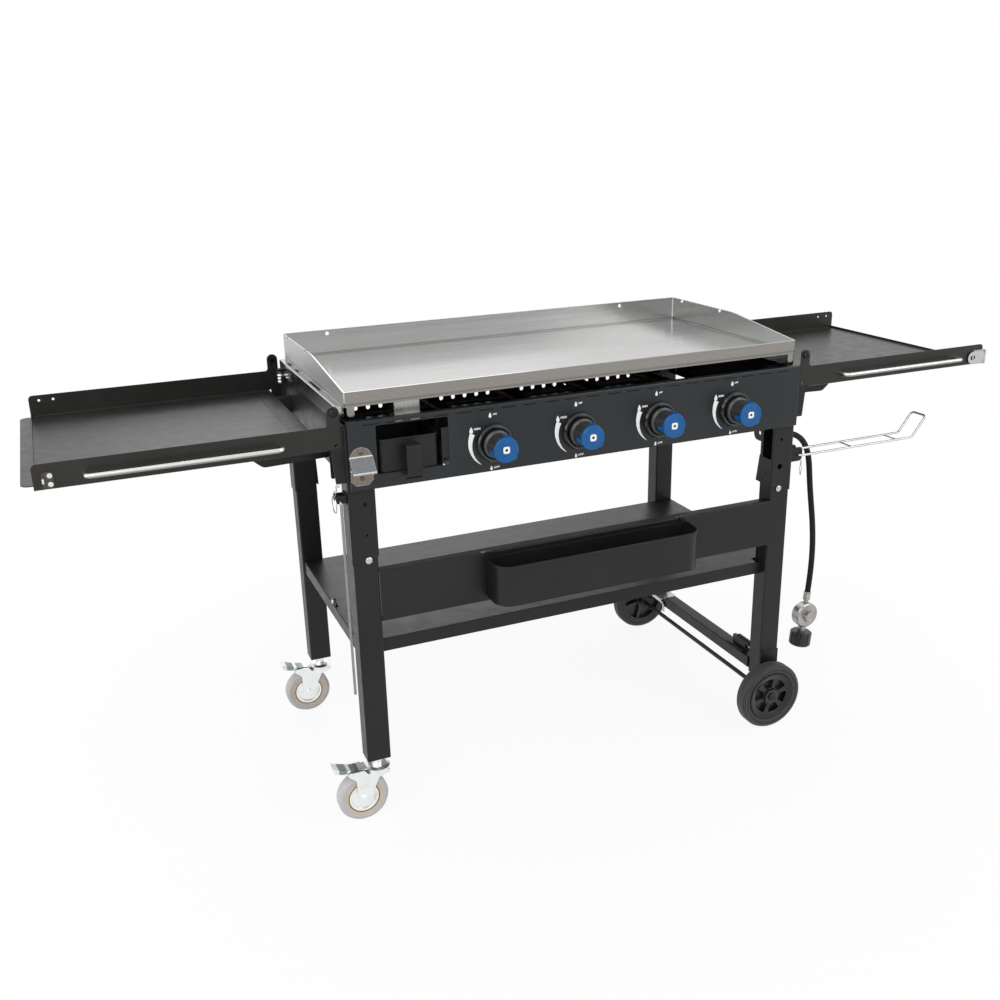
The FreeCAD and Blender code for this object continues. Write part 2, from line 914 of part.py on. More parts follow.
def front_beam():
    """Channel between the front legs, notched along its top for the bin's hooks."""
    rear_y = frame_front_y + beam_flange
    outer = block(-leg_inner_x, leg_inner_x, frame_front_y, rear_y, beam_bottom, beam_top)
    outer = rounded(outer, 2.5, X_AXIS, lambda m: m.y < frame_front_y + 1)
    wall = 1.5
    inner = block(
        -leg_inner_x - 1,
        leg_inner_x + 1,
        frame_front_y + wall,
        rear_y + 1,
        beam_bottom + wall,
        beam_top - wall,
    )
    tools = [inner]
    for side in (-1, 1):
        middle = side * bin_hook_x
        half = bin_hook_width / 2 + 2
        tools.append(
            block(
                middle - half,
                middle + half,
                frame_front_y + wall,
                frame_front_y + 12,
                beam_top - 4,
                beam_top + 1,
            )
        )
    return cut_all(outer, tools)


def lower_shelf():
    """Shallow pan between the legs, notched at the front for them."""
    front_face = front_leg_y + leg_depth / 2
    rear_face = rear_leg_y - leg_depth / 2
    half = low_shelf_half_width
    points = [
        V(-leg_inner_x, low_shelf_front_y, low_shelf_bottom),
        V(leg_inner_x, low_shelf_front_y, low_shelf_bottom),
        V(leg_inner_x, front_face, low_shelf_bottom),
        V(half, front_face, low_shelf_bottom),
        V(half, rear_face, low_shelf_bottom),
        V(-half, rear_face, low_shelf_bottom),
        V(-half, front_face, low_shelf_bottom),
        V(-leg_inner_x, front_face, low_shelf_bottom),
    ]
    outline = Part.Face(Part.makePolygon(points + [points[0]]))
    outer = outline.extrude(V(0, 0, low_shelf_lip))
    inside = outline.makeOffset2D(-1.5).extrude(V(0, 0, low_shelf_lip + 1))
    inside.translate(V(0, 0, 1.5))
    shape = outer.cut(inside)
    beads = []
    for x in (-235, 0, 235):
        centre = V(x, 0, low_shelf_bottom + 1.0)
        beads.append(slot(centre, 340, 6, Y_AXIS, Z_AXIS, 2))
    return cut_all(shape, beads)


def arm_bracket(pivot_x, pivot_height, reach, height):
    """Black bracket on the front right sleeve that carries a wire arm."""
    z0 = pivot_height - height / 2
    z1 = pivot_height + height / 2
    x0 = sleeve_outer_x
    y0 = frame_front_y + bracket_front_inset
    y1 = frame_front_y + sleeve_depth - bracket_rear_inset
    back = block(x0, x0 + bracket_sheet, y0, y1, z0, z1)
    ears = []
    for y in (y0, y1 - bracket_sheet):
        ear = block(x0, x0 + reach, y, y + bracket_sheet, z0 + height / 7, z1 - height / 7)
        ears.append(rounded(ear, height / 5, Y_AXIS, lambda m: m.x > x0 + 5))
    hole = rod(
        V(pivot_x, y0 - 1, pivot_height),
        V(pivot_x, y1 + 1, pivot_height),
        wire_radius + running_gap,
    )
    return fuse([back] + ears).cut(hole)


def shelf_clip(side):
    """Upright tab inside the lower shelf's side lip."""
    x_out = side * (low_shelf_half_width - 1.5)
    x_in = side * (low_shelf_half_width - 1.5 - shelf_clip_sheet)
    z0 = low_shelf_bottom + shelf_clip_rise
    z1 = z0 + shelf_clip_height
    y0 = shelf_clip_y - shelf_clip_width / 2
    tab = block(min(x_in, x_out), max(x_in, x_out), y0, y0 + shelf_clip_width, z0, z1)
    return rounded(tab, 10, X_AXIS, lambda m: m.z > z1 - 5)


def tank_hook():
    """Rest for the gas cylinder on the low cross tube."""
    middle_x = cross_tube_inner_x + cross_tube_width / 2
    foot = block(middle_x - 11, middle_x + 11, -173, -109, cross_tube_top, cross_tube_top + 3)
    web = block(middle_x - 4, middle_x + 4, -172, -124, cross_tube_top + 2, cross_tube_top + 22)
    roller = rod(
        V(middle_x, -187, cross_tube_top + 22), V(middle_x, -141, cross_tube_top + 22), 7
    )
    return fuse([rounded(foot, 4, Z_AXIS), web, roller])


def small_brackets():
    """Wire-arm brackets, shelf clips and the cylinder rest."""
    return [
        arm_bracket(arm_pivot_x, arm_pivot_height, bracket_reach, bracket_height),
        mirrored(
            arm_bracket(tool_pivot_x, tool_pivot_height, tool_bracket_reach, tool_bracket_height)
        ),
        shelf_clip(-1),
        shelf_clip(1),
        tank_hook(),
    ]


def hinge_post(front):
    """Right-hand channel post that carries a shelf pivot; the rear one faces the other way."""
    face_y = frame_front_y + shelf_sheet + 0.5
    y1 = face_y + post_sheet
    x0 = sleeve_outer_x
    top_x0 = rail_outer_x + 1
    outline = [
        (x0, post_bottom),
        (x0 + post_width, post_bottom),
        (hinge_x + shelf_ear_radius, hinge_height - 30),
        (hinge_x + shelf_ear_radius, hinge_height),
        (top_x0, hinge_height),
        (top_x0, sleeve_top - 0.5),
        (x0, sleeve_top - 0.5),
    ]
    blade = plate_xz(outline, face_y, y1)
    cap = rod(V(hinge_x, face_y, hinge_height), V(hinge_x, y1, hinge_height), shelf_ear_radius)
    keep = block(top_x0, hinge_x + 20, face_y - 1, y1 + 1, hinge_height - 20, hinge_height + 20)
    back = block(
        x0, x0 + post_sheet, face_y, face_y + post_return, post_bottom, sleeve_top - 0.5
    )
    second_y = face_y + post_return
    second = block(
        x0, x0 + post_width, second_y - post_sheet, second_y, post_bottom, shelf_bottom - post_rear_drop
    )
    second = rounded(second, 3, Y_AXIS, lambda m: m.x > x0 + 5 and m.z < post_bottom + 1)
    shape = fuse([blade, cap.common(keep), back, second])
    bore = rod(
        V(hinge_x, face_y - 1, hinge_height), V(hinge_x, y1 + 1, hinge_height), pivot_bolt_radius
    )
    lock = rod(
        V(hinge_x - 2, face_y - 1, shelf_lock_hole_height),
        V(hinge_x - 2, y1 + 1, shelf_lock_hole_height),
        3,
    )
    if front:
        return cut_all(shape, [bore, lock])
    shape = shape.cut(bore)
    middle = (frame_front_y + frame_rear_y) / 2
    return shape.mirror(V(0, middle, 0), Y_AXIS)


def support_arm(y):
    """Right-hand bracket under a side shelf, with a curved lower edge."""
    top = shelf_bottom - seat_gap
    x0 = sleeve_outer_x
    outline = [
        (x0, top),
        (arm_tip_x, top),
        (arm_tip_x, top - arm_tip_depth),
        (arm_tip_x - 26, top - arm_root_depth - 4),
        (x0, top - arm_root_depth),
    ]
    web = plate_xz(outline, y, y + arm_sheet)
    web = rounded(web, 16, Y_AXIS, lambda m: m.z < top - 20 and m.x > x0 + 10)
    web = rounded(web, 6, Y_AXIS, lambda m: m.x > arm_tip_x - 1 and m.z < top - 5)
    shelf_flange = block(x0 + 4, arm_tip_x - 6, y, y + arm_flange, top - arm_sheet, top)
    wall_flange = block(x0, x0 + arm_sheet, y, y + arm_flange, top - arm_root_depth, top)
    return fuse([web, shelf_flange, wall_flange])


def axle():
    """Wheel axle with spacers beside the leg plates and push nuts on its ends."""
    front_end = front_wheel_y - wheel_width / 2 - seat_gap - push_nut_height
    rear_end = rear_wheel_y + wheel_width / 2 + seat_gap + push_nut_height
    shape = rod(V(axle_x, front_end, wheel_radius), V(axle_x, rear_end, wheel_radius), axle_radius)
    parts = [shape]
    for end, inward in ((front_end, 1), (rear_end, -1)):
        inner_end = V(axle_x, end + inward * push_nut_height, wheel_radius)
        parts.append(rounded_head(inner_end, Y_AXIS * -inward, push_nut_radius, push_nut_height))
    for middle_y, outward, wheel_y in (
        (front_leg_y, -1, front_wheel_y),
        (rear_leg_y, 1, rear_wheel_y),
    ):
        plate_y = middle_y + outward * (leg_depth / 2 + 2)
        inner_y = wheel_y - outward * (wheel_width / 2 + seat_gap)
        parts.append(
            rod(V(axle_x, plate_y, wheel_radius), V(axle_x, inner_y, wheel_radius), 8)
        )
    return fuse(parts)


def cup_holder():
    """Two sheet rails behind the window joined at the back, carrying the grease cup."""
    y0 = panel_back_y
    y1 = cup_front_y + cup_depth + 14
    z0 = cup_bottom - seat_gap - sheet
    z1 = z0 + 40
    parts = []
    for x_in, side in ((cup_left_x - cup_rim - 1.9, -1), (cup_right_x + cup_rim + 1.9, 1)):
        x_out = x_in + side * sheet
        x_ledge = x_in - side * holder_ledge
        x_flange = x_in + side * 15
        parts.append(block(min(x_in, x_out), max(x_in, x_out), y0, y1, z0, z1))
        parts.append(
            block(min(x_ledge, x_out), max(x_ledge, x_out), y0 + 2, y1, z0, z0 + sheet)
        )
        low = z0 + (14 if side > 0 else 4)
        parts.append(
            block(min(x_in, x_flange), max(x_in, x_flange), y0, y0 + sheet, low, z1 + 30)
        )
    left = cup_left_x - cup_rim - 1.9
    right = cup_right_x + cup_rim + 1.9
    parts.append(block(left, right, y1 - sheet, y1, z0, z0 + 20))
    parts.append(block(left, right, y0 + 2, y0 + 20, z0, z0 + sheet))
    return fuse(parts)


def grease_cup():
    """Removable cup with a rolled rim and a curled strap handle."""
    y0 = cup_front_y
    y1 = cup_front_y + cup_depth
    outer = block(cup_left_x, cup_right_x, y0, y1, cup_bottom, cup_top)
    outer = rounded(outer, cup_corner, Z_AXIS)
    rim = block(
        cup_left_x - cup_rim,
        cup_right_x + cup_rim,
        y0 - cup_rim,
        y1 + cup_rim,
        cup_top - 2.5,
        cup_top,
    )
    rim = rounded(rim, cup_corner + cup_rim, Z_AXIS)
    inner = block(
        cup_left_x + cup_sheet,
        cup_right_x - cup_sheet,
        y0 + cup_sheet,
        y1 - cup_sheet,
        cup_bottom + cup_sheet,
        cup_top + 1,
    )
    inner = rounded(inner, cup_corner - cup_sheet, Z_AXIS)
    reach = y0 - cup_handle_reach
    top = cup_handle_top
    low = top - cup_handle_drop
    t = 1.5
    strap = [
        (y0 + 0.5, top + t),
        (reach, top + t),
        (reach, low),
        (reach + 6, low - 5.5),
        (reach + 12, low - 5.5),
        (reach + 12, low - 4),
        (reach + 6.5, low - 4),
        (reach + t, low + 0.6),
        (reach + t, top),
        (y0 + 0.5, top),
    ]
    x0 = cup_handle_x - cup_handle_width / 2
    handle = plate_yz(strap, x0, x0 + cup_handle_width)
    handle = rounded(handle, 3.5, X_AXIS, lambda m: m.y < reach + 1 and m.z > top + 1)
    handle = rounded(handle, 2, X_AXIS, lambda m: m.y < reach + 2 and abs(m.z - top) < 0.1)
    return fuse([outer, rim, handle]).cut(inner)


def manifold():
    """Gas supply tube below the valves with its angled hose fitting."""
    tube = rod(
        V(manifold_left_x, manifold_y, manifold_height),
        V(manifold_right_x, manifold_y, manifold_height),
        manifold_radius,
    )
    first_run = (hose_route[1] - hose_route[0]).normalize()
    fitting = rod(hose_start - first_run * fitting_length, hose_start, fitting_radius)
    elbow = Part.makeSphere(
        manifold_radius + 2, V(manifold_right_x - 6, manifold_y, manifold_height)
    )
    bosses = []
    for x in knob_xs:
        bosses.append(
            rod(V(x, manifold_y, manifold_height), V(x, manifold_y, knob_height), 7)
        )
    shape = fuse([tube, fitting, elbow] + bosses)
    barrels = []
    for x in knob_xs:
        barrels.append(
            rod(
                V(x, valve_block_rear_y, knob_height),
                V(x, valve_barrel_rear_y, knob_height),
                valve_barrel_radius,
            )
        )
    return cut_all(shape, barrels)


def gas_valve(x):
    """Brass valve body with a bored neck, a barrel over the manifold and a nozzle."""
    body = block(
        x - valve_width / 2,
        x + valve_width / 2,
        valve_front_y,
        valve_block_rear_y,
        knob_height - valve_height / 2,
        knob_height + valve_height / 2,
    )
    body = rounded(body, 5, Y_AXIS)
    neck = rod(V(x, panel_back_y, knob_height), V(x, valve_front_y, knob_height), 9)
    barrel = rod(
        V(x, valve_block_rear_y, knob_height),
        V(x, valve_barrel_rear_y, knob_height),
        valve_barrel_radius,
    )
    nozzle_end = valve_barrel_rear_y + valve_nozzle_length
    nozzle = rod(
        V(x, valve_barrel_rear_y, knob_height), V(x, nozzle_end, knob_height), valve_nozzle_radius
    )
    bore = rod(
        V(x, panel_back_y - 1, knob_height),
        V(x, spindle_rear_y + running_gap, knob_height),
        spindle_radius + running_gap,
    )
    return fuse([body, neck, barrel, nozzle]).cut(bore)


def burner(x):
    """Tube burner with slit ports along each side and a locating pin at the rear."""
    start = V(x, burner_front_y, knob_height)
    end = V(x, burner_rear_y, knob_height)
    shell = pipe(start, end, burner_radius, burner_radius - burner_wall)
    closure = rod(end - Y_AXIS * 2, end, burner_radius - burner_wall)
    pin = rod(end, V(x, rear_panel_y, knob_height), 4)
    shape = fuse([shell, closure, pin])
    ports = []
    span = burner_rear_y - burner_front_y - 90
    for k in range(burner_port_count):
        y = burner_front_y + 60 + span * k / (burner_port_count - 1)
        ports.append(
            block(
                x - burner_radius - 1,
                x + burner_radius + 1,
                y,
                y + burner_port_width,
                knob_height + 4,
                knob_height + 7,
            )
        )
    return cut_all(shape, ports)


def knob_bezel(x):
    """Ring on the panel around a knob."""
    profile = [
        (0, bezel_inner_radius),
        (0, bezel_radius),
        (bezel_height - 3, bezel_radius - 0.6),
        (bezel_height, bezel_radius - 2.6),
        (bezel_height, bezel_inner_radius + 1.4),
        (bezel_height - 1.4, bezel_inner_radius),
    ]
    return turned(profile, V(x, panel_front_y, knob_height), Y_AXIS * -1, X_AXIS)


def valve_spindle(x):
    """Round spindle with a flat at its outer end."""
    shape = rod(V(x, spindle_rear_y, knob_height), V(x, spindle_front_y, knob_height), spindle_radius)
    flat = block(
        x - 10,
        x + 10,
        spindle_front_y - 1,
        spindle_front_y + 14,
        knob_height + spindle_radius - spindle_flat,
        knob_height + 10,
    )
    return shape.cut(flat)


def around(x, angle, radius, y):
    """A point beside a knob's axis."""
    return V(x + radius * math.cos(angle), y, knob_height + radius * math.sin(angle))


def knob_body(x):
    """Hollow tapered knob with finger scallops, a bored boss and notches for the cap."""
    wall = 2.4
    outer = turned(
        [
            (0, 0),
            (0, knob_skirt_radius),
            (7, knob_skirt_radius),
            (10, knob_neck_radius + 1.2),
            (knob_length - 1.5, knob_neck_radius),
            (knob_length, knob_neck_radius - 1.5),
            (knob_length, 0),
        ],
        V(x, knob_rear_y, knob_height),
        Y_AXIS * -1,
        X_AXIS,
    )
    hollow = turned(
        [
            (-1, 9),
            (-1, knob_skirt_radius - wall),
            (5, knob_skirt_radius - wall),
            (10, knob_neck_radius - 5),
            (knob_length - 12, knob_neck_radius - 5.5),
            (knob_length - 12, 9),
        ],
        V(x, knob_rear_y, knob_height),
        Y_AXIS * -1,
        X_AXIS,
    )
    bore = rod(
        V(x, knob_rear_y + 1, knob_height),
        V(x, knob_front_y + 2.5, knob_height),
        spindle_radius + running_gap,
    )
    key = block(
        x - 10,
        x + 10,
        knob_front_y,
        spindle_front_y + 9,
        knob_height + spindle_radius - spindle_flat + running_gap,
        knob_height + 10,
    )
    tools = [hollow, bore.cut(key)]
    for k in range(cap_lobe_count):
        angle = math.radians(cap_lobe_turn + 360 / cap_lobe_count * k)
        middle = around(x, angle, knob_neck_radius + knob_scallop_radius - 2.6, knob_front_y - 1)
        tools.append(
            Part.makeCylinder(knob_scallop_radius, knob_length - 12, middle, Y_AXIS)
        )
        tools.append(cap_lobe(x, k, 0.3))
    return cut_all(outer, tools)


def cap_lobe(x, k, spare):
    """One of the ribs of a cap, with spare room all round when used as a cutter."""
    inner = knob_neck_radius - 3.2 - spare
    half = cap_lobe_width / 2 + spare
    front = knob_front_y - cap_thickness
    rib = block(
        x - half,
        x + half,
        front,
        front + cap_lobe_length + cap_thickness + spare,
        knob_height + inner,
        knob_height + cap_lobe_reach,
    )
    return rib.rotate(V(x, 0, knob_height), Y_AXIS, cap_lobe_turn + 360 / cap_lobe_count * k)


def knob_cap(x):
    """Coloured cap on the knob's face with ribs down its side."""
    disc = turned(
        [
            (0, 0),
            (0, cap_radius),
            (cap_thickness - 1.6, cap_radius),
            (cap_thickness, cap_radius - 1.6),
            (cap_thickness, 0),
        ],
        V(x, knob_front_y, knob_height),
        Y_AXIS * -1,
        X_AXIS,
    )
    ribs = [cap_lobe(x, k, 0) for k in range(cap_lobe_count)]
    return fuse([disc] + ribs)


def bottle_opener():
    """Steel wall opener: a rounded plate with a slanted tongue and a tooth under it."""
    half = opener_width / 2
    x0 = opener_x - half
    x1 = opener_x + half
    y1 = panel_front_y
    y0 = y1 - opener_sheet
    middle = opener_top - half
    outline = [
        (x0, middle),
        (x0, opener_plate_bottom + opener_chamfer),
        (x0 + opener_chamfer, opener_plate_bottom),
        (x1 - opener_chamfer, opener_plate_bottom),
        (x1, opener_plate_bottom + opener_chamfer),
        (x1, middle),
    ]
    plate = plate_xz(outline, y0, y1)
    round_top = rod(V(opener_x, y0, middle), V(opener_x, y1, middle), half)
    lip_y = y0 - opener_hood_reach + 2
    hood_points = [
        (y0 + 0.5, opener_hood_top),
        (lip_y, opener_hood_bottom + 2),
        (lip_y, opener_hood_bottom - 2),
        (lip_y + 3, opener_hood_bottom - 2),
        (lip_y + 3, opener_hood_bottom + 2),
        (y0 + 0.5, opener_hood_top - 6),
    ]
    hood = plate_yz(hood_points, x0 - 1, x1 + 1)
    tooth = block(
        opener_x - 4, opener_x + 4, y0 - 4, y0 + 0.5, opener_hood_bottom - 7, opener_hood_bottom - 3
    )
    shape = fuse([plate, round_top, hood, tooth])
    holes = []
    for z in opener_screw_heights:
        holes.append(rod(V(opener_x, y0 - 1, z), V(opener_x, y1 + 1, z), screw_radius))
    return cut_all(shape, holes)


def side_shelf():
    """Right-hand folding shelf: a pan with ears at its pivots and a low end lip."""
    x1 = shelf_outer_x
    bottom = shelf_bottom
    bend = shelf_sheet + 1
    deck = block(shelf_inner_x, x1, shelf_front_y, shelf_rear_y, bottom, bottom + bend + 1)
    deck = rounded(deck, bend, X_AXIS, lambda m: m.z < bottom + 1)
    hollow = block(
        shelf_inner_x - 1,
        x1 - shelf_sheet,
        shelf_front_y + shelf_sheet,
        shelf_rear_y - shelf_sheet,
        bottom + shelf_sheet,
        bottom + 20,
    )
    hollow = rounded(hollow, 1, X_AXIS, lambda m: m.z < bottom + 2)
    walls = []
    outline = [
        (hinge_x - shelf_ear_radius, bottom + bend),
        (x1, bottom + bend),
        (x1, shelf_top),
        (shelf_inner_x, shelf_top),
        (shelf_inner_x, hinge_height),
        (hinge_x - shelf_ear_radius, hinge_height),
    ]
    for y in (shelf_front_y, shelf_rear_y - shelf_sheet):
        wall = plate_xz(outline, y, y + shelf_sheet)
        wall = rounded(wall, shelf_wall_corner, Y_AXIS, lambda m: m.z > shelf_top - 1 and m.x > x1 - 1)
        wall = rounded(
            wall,
            6,
            Y_AXIS,
            lambda m: abs(m.z - shelf_top) < 1 and abs(m.x - shelf_inner_x) < 1,
        )
        ear = rod(
            V(hinge_x, y, hinge_height), V(hinge_x, y + shelf_sheet, hinge_height), shelf_ear_radius
        )
        walls.extend([wall, ear])
    lip = block(
        x1 - shelf_sheet,
        x1,
        shelf_front_y + bend,
        shelf_rear_y - bend,
        bottom,
        bottom + shelf_end_lip,
    )
    shape = fuse([deck.cut(hollow), lip] + walls)
    crease = block(
        hinge_x + 42, hinge_x + 44, shelf_front_y + 6, shelf_rear_y - 6, bottom + 1.1, bottom + 3
    )
    tools = [crease]
    for start_y in (shelf_front_y - 1, shelf_rear_y - shelf_sheet - 1):
        length = shelf_sheet + 2
        tools.append(
            Part.makeCylinder(
                pivot_bolt_radius + hole_gap, length, V(hinge_x, start_y, hinge_height), Y_AXIS
            )
        )
        tools.append(
            Part.makeCylinder(
                3, length, V(hinge_x - 2, start_y, shelf_lock_hole_height), Y_AXIS
            )
        )
    for x in (x1 - 45, x1 - 19):
        start = V(x, shelf_rear_y - shelf_sheet - 1, shelf_top - 10.5)
        tools.append(Part.makeCylinder(2.5, shelf_sheet + 2, start, Y_AXIS))
    return cut_all(shape, tools)


def left_shelf():
    """Left-hand shelf with an end flange that covers the gap when both are folded."""
    shape = mirrored(side_shelf())
    y0 = shelf_front_y + shelf_flange_front_inset
    y1 = shelf_rear_y - shelf_flange_rear_inset
    flange = block(
        -shelf_outer_x - shelf_end_flange,
        -shelf_outer_x + 1,
        y0,
        y1,
        shelf_bottom,
        shelf_bottom + shelf_sheet,
    )
    flange = rounded(flange, 14, Z_AXIS, lambda m: m.x < -shelf_outer_x - 10)
    return fuse([shape, flange])


def shelf_handle():
    """Chrome rod handle on the front of the right-hand shelf."""
    out_y = shelf_front_y - handle_reach
    points = [
        V(handle_start_x, shelf_front_y, handle_height),
        V(handle_start_x, out_y, handle_height),
        V(handle_end_x, out_y, handle_height),
        V(handle_end_x, shelf_front_y, handle_height),
    ]
    return bent_bar(points, handle_bend, handle_radius)


def hasp_base():
    """Leaf on the right shelf's front wall with two barrel knuckles and their pin."""
    half = hasp_knuckle_length / 2
    leaf = block(
        hasp_barrel_x - 33,
        hasp_barrel_x - 0.5,
        shelf_front_y - hasp_strap_thickness,
        shelf_front_y,
        hasp_height - half,
        hasp_height + half,
    )
    leaf = rounded(leaf, 5, Y_AXIS, lambda m: m.x < hasp_barrel_x - 20)
    middle = V(hasp_barrel_x, hasp_y, hasp_height)
    web = block(
        hasp_barrel_x - 2.3,
        hasp_barrel_x + 1,
        hasp_y,
        shelf_front_y - 0.2,
        hasp_height - half,
        hasp_height + half,
    )
    inner_half = hasp_knuckle_length / 4
    gap = block(
        hasp_barrel_x - 3.2,
        hasp_barrel_x + 4,
        hasp_y - 4,
        shelf_front_y + 1,
        hasp_height - inner_half,
        hasp_height + inner_half,
    )
    barrel = Part.makeCylinder(
        hasp_barrel_radius, hasp_knuckle_length, middle - Z_AXIS * half, Z_AXIS
    )
    pin = Part.makeCylinder(
        hasp_pin_radius, hasp_knuckle_length, middle - Z_AXIS * half, Z_AXIS
    )
    knuckles = fuse([leaf, barrel, web]).cut(gap)
    return fuse([knuckles, pin])


def hasp_strap():
    """Slotted strap that turns about the barrel; drawn folded back along the shelf."""
    middle = V(hasp_barrel_x, hasp_y, hasp_height)
    half_t = hasp_strap_thickness / 2
    half_w = hasp_strap_width / 2
    end_x = hasp_barrel_x - hasp_strap_length
    plate = block(
        end_x,
        hasp_barrel_x - 3.2,
        hasp_y - half_t,
        hasp_y + half_t,
        hasp_height - half_w,
        hasp_height + half_w,
    )
    plate = rounded(plate, half_w - 0.5, Y_AXIS, lambda m: m.x < end_x + 1)
    plate = rounded(plate, 4, Y_AXIS, lambda m: m.x > hasp_barrel_x - 4)
    inner_half = hasp_knuckle_length / 4 - seat_gap
    neck = block(
        hasp_barrel_x - 5,
        hasp_barrel_x - 1,
        hasp_y - half_t,
        hasp_y + half_t,
        hasp_height - inner_half,
        hasp_height + inner_half,
    )
    knuckle = Part.makeCylinder(
        hasp_barrel_radius, 2 * inner_half, middle - Z_AXIS * inner_half, Z_AXIS
    )
    bore = Part.makeCylinder(
        hasp_pin_radius + 0.15, 2 * inner_half + 2, middle - Z_AXIS * (inner_half + 1), Z_AXIS
    )
    opening = slot(
        V(hasp_barrel_x - hasp_slot_reach, hasp_y - 3, hasp_height),
        hasp_slot_length,
        hasp_slot_width,
        X_AXIS,
        Y_AXIS,
        6,
    )
    return cut_all(fuse([plate, neck, knuckle]), [bore, opening])


def latch_catch():
    """Zinc catch on the left shelf whose tab passes through the hasp's slot when folded."""
    tab_x = -(hasp_barrel_x - hasp_slot_reach) - 14
    x0 = tab_x - catch_tab_thickness / 2
    plate = block(
        x0,
        x0 + catch_width,
        shelf_front_y - 1.5,
        shelf_front_y,
        hasp_height - catch_height / 2,
        hasp_height + catch_height / 2,
    )
    plate = rounded(plate, 3, Y_AXIS)
    tab = block(
        x0,
        x0 + catch_tab_thickness,
        shelf_front_y - 1.5 - catch_tab_reach,
        shelf_front_y - 1,
        hasp_height - catch_tab_length / 2,
        hasp_height + catch_tab_length / 2,
    )
    tab = rounded(tab, 1.5, X_AXIS, lambda m: m.y < shelf_front_y - 3)
    parts = [plate, tab]
    for dz in (-7, 7):
        start = V(x0 + 12, shelf_front_y - 1.5, hasp_height + dz)
        parts.append(rounded_head(start, Y_AXIS * -1, screw_head_radius, catch_head_height))
    return fuse(parts)


def condiment_bin():
    """Open bin with a rolled rim that hangs from the front beam by two hooks."""
    t = 1.2
    outer = block(-bin_half_width, bin_half_width, bin_front_y, bin_rear_y, bin_bottom, bin_top)
    outer = rounded(outer, bin_corner, Z_AXIS, lambda m: m.y < bin_front_y + 1)
    outer = rounded(outer, 4, Z_AXIS, lambda m: m.y > bin_rear_y - 1)
    inner = block(
        -bin_half_width + t,
        bin_half_width - t,
        bin_front_y + t,
        bin_rear_y - t,
        bin_bottom + t,
        bin_top + 1,
    )
    inner = rounded(inner, bin_corner - t, Z_AXIS, lambda m: m.y < bin_front_y + 2 * t)
    inner = rounded(inner, 4 - t, Z_AXIS, lambda m: m.y > bin_rear_y - 2 * t)
    rim = block(
        -bin_half_width - bin_rim,
        bin_half_width + bin_rim,
        bin_front_y - bin_rim,
        bin_rear_y,
        bin_top - 4,
        bin_top,
    )
    rim = rounded(rim, bin_corner + bin_rim, Z_AXIS, lambda m: m.y < bin_front_y)
    rim_edges = [
        e for e in rim.Edges if abs(e.CenterOfMass.z - bin_top) < 0.1 and e.CenterOfMass.y < bin_rear_y - 1
    ]
    rim = rim.makeFillet(1.5, rim_edges)
    hooks = []
    over = beam_top + seat_gap
    inside_y = frame_front_y + 1.5 + 0.6
    for side in (-1, 1):
        middle = side * bin_hook_x
        x0 = min(middle - bin_hook_width / 2, bin_half_width)
        x0 = max(x0, -bin_half_width)
        x1 = max(min(middle + bin_hook_width / 2, bin_half_width), x0)
        strap = [
            (bin_rear_y - t, bin_top - 10),
            (bin_rear_y, bin_top - 10),
            (bin_rear_y, over),
            (inside_y, over),
            (inside_y, over - bin_hook_drop),
            (inside_y + t, over - bin_hook_drop),
            (inside_y + t, over + t),
            (bin_rear_y - t, over + t),
        ]
        hooks.append(plate_yz(strap, x0, x1))
    shape = fuse([outer, rim] + hooks)
    return shape.cut(inner)


def towel_arm():
    """Closed wire loop that turns on its bracket, with two cross wires and raised ends."""
    root = V(arm_pivot_x, 0, arm_pivot_height)
    far = V(arm_pivot_x + wire_length, 0, arm_pivot_height)
    tip = far + V(wire_upturn_run, 0, wire_upturn)
    front = V(0, wire_centre_y - wire_spread / 2, 0)
    rear = V(0, wire_centre_y + wire_spread / 2, 0)
    start = root + V(0, wire_centre_y, 0)
    points = [
        start,
        root + front,
        far + front,
        tip + front,
        tip + rear,
        far + rear,
        root + rear,
        root + V(0, wire_centre_y + 0.01, 0),
    ]
    loop = bent_bar(points, 8, wire_radius)
    pieces = [loop]
    for x in cross_wire_xs:
        pieces.append(
            rod(
                V(x, wire_centre_y - wire_spread / 2, arm_pivot_height),
                V(x, wire_centre_y + wire_spread / 2, arm_pivot_height),
                cross_wire_radius,
            )
        )
    return fuse(pieces)


def tool_rod():
    """Plain wire that hangs from its bracket on the left and swings out to the side."""
    front_y = wire_centre_y - wire_spread / 2
    points = [
        V(-tool_pivot_x, wire_centre_y + wire_spread / 2 + 3, tool_pivot_height),
        V(-tool_pivot_x, front_y, tool_pivot_height),
        V(-tool_pivot_x, front_y, tool_pivot_height - tool_rod_length),
    ]
    return bent_bar(points, 8, wire_radius)


def wheel_tyre(wheel_y):
    """Solid tread of a large wheel with rounded shoulders."""
    half = wheel_width / 2
    r = wheel_radius
    profile = [
        (-half + 2, wheel_hub_radius),
        (-half, wheel_hub_radius + 6),
        (-half, r - 6),
        (-half + 2, r - 2),
        (-half + 6, r),
        (half - 6, r),
        (half - 2, r - 2),
        (half, r - 6),
        (half, wheel_hub_radius + 6),
        (half - 2, wheel_hub_radius),
    ]
    return turned(profile, V(axle_x, wheel_y, wheel_radius), Y_AXIS, X_AXIS)


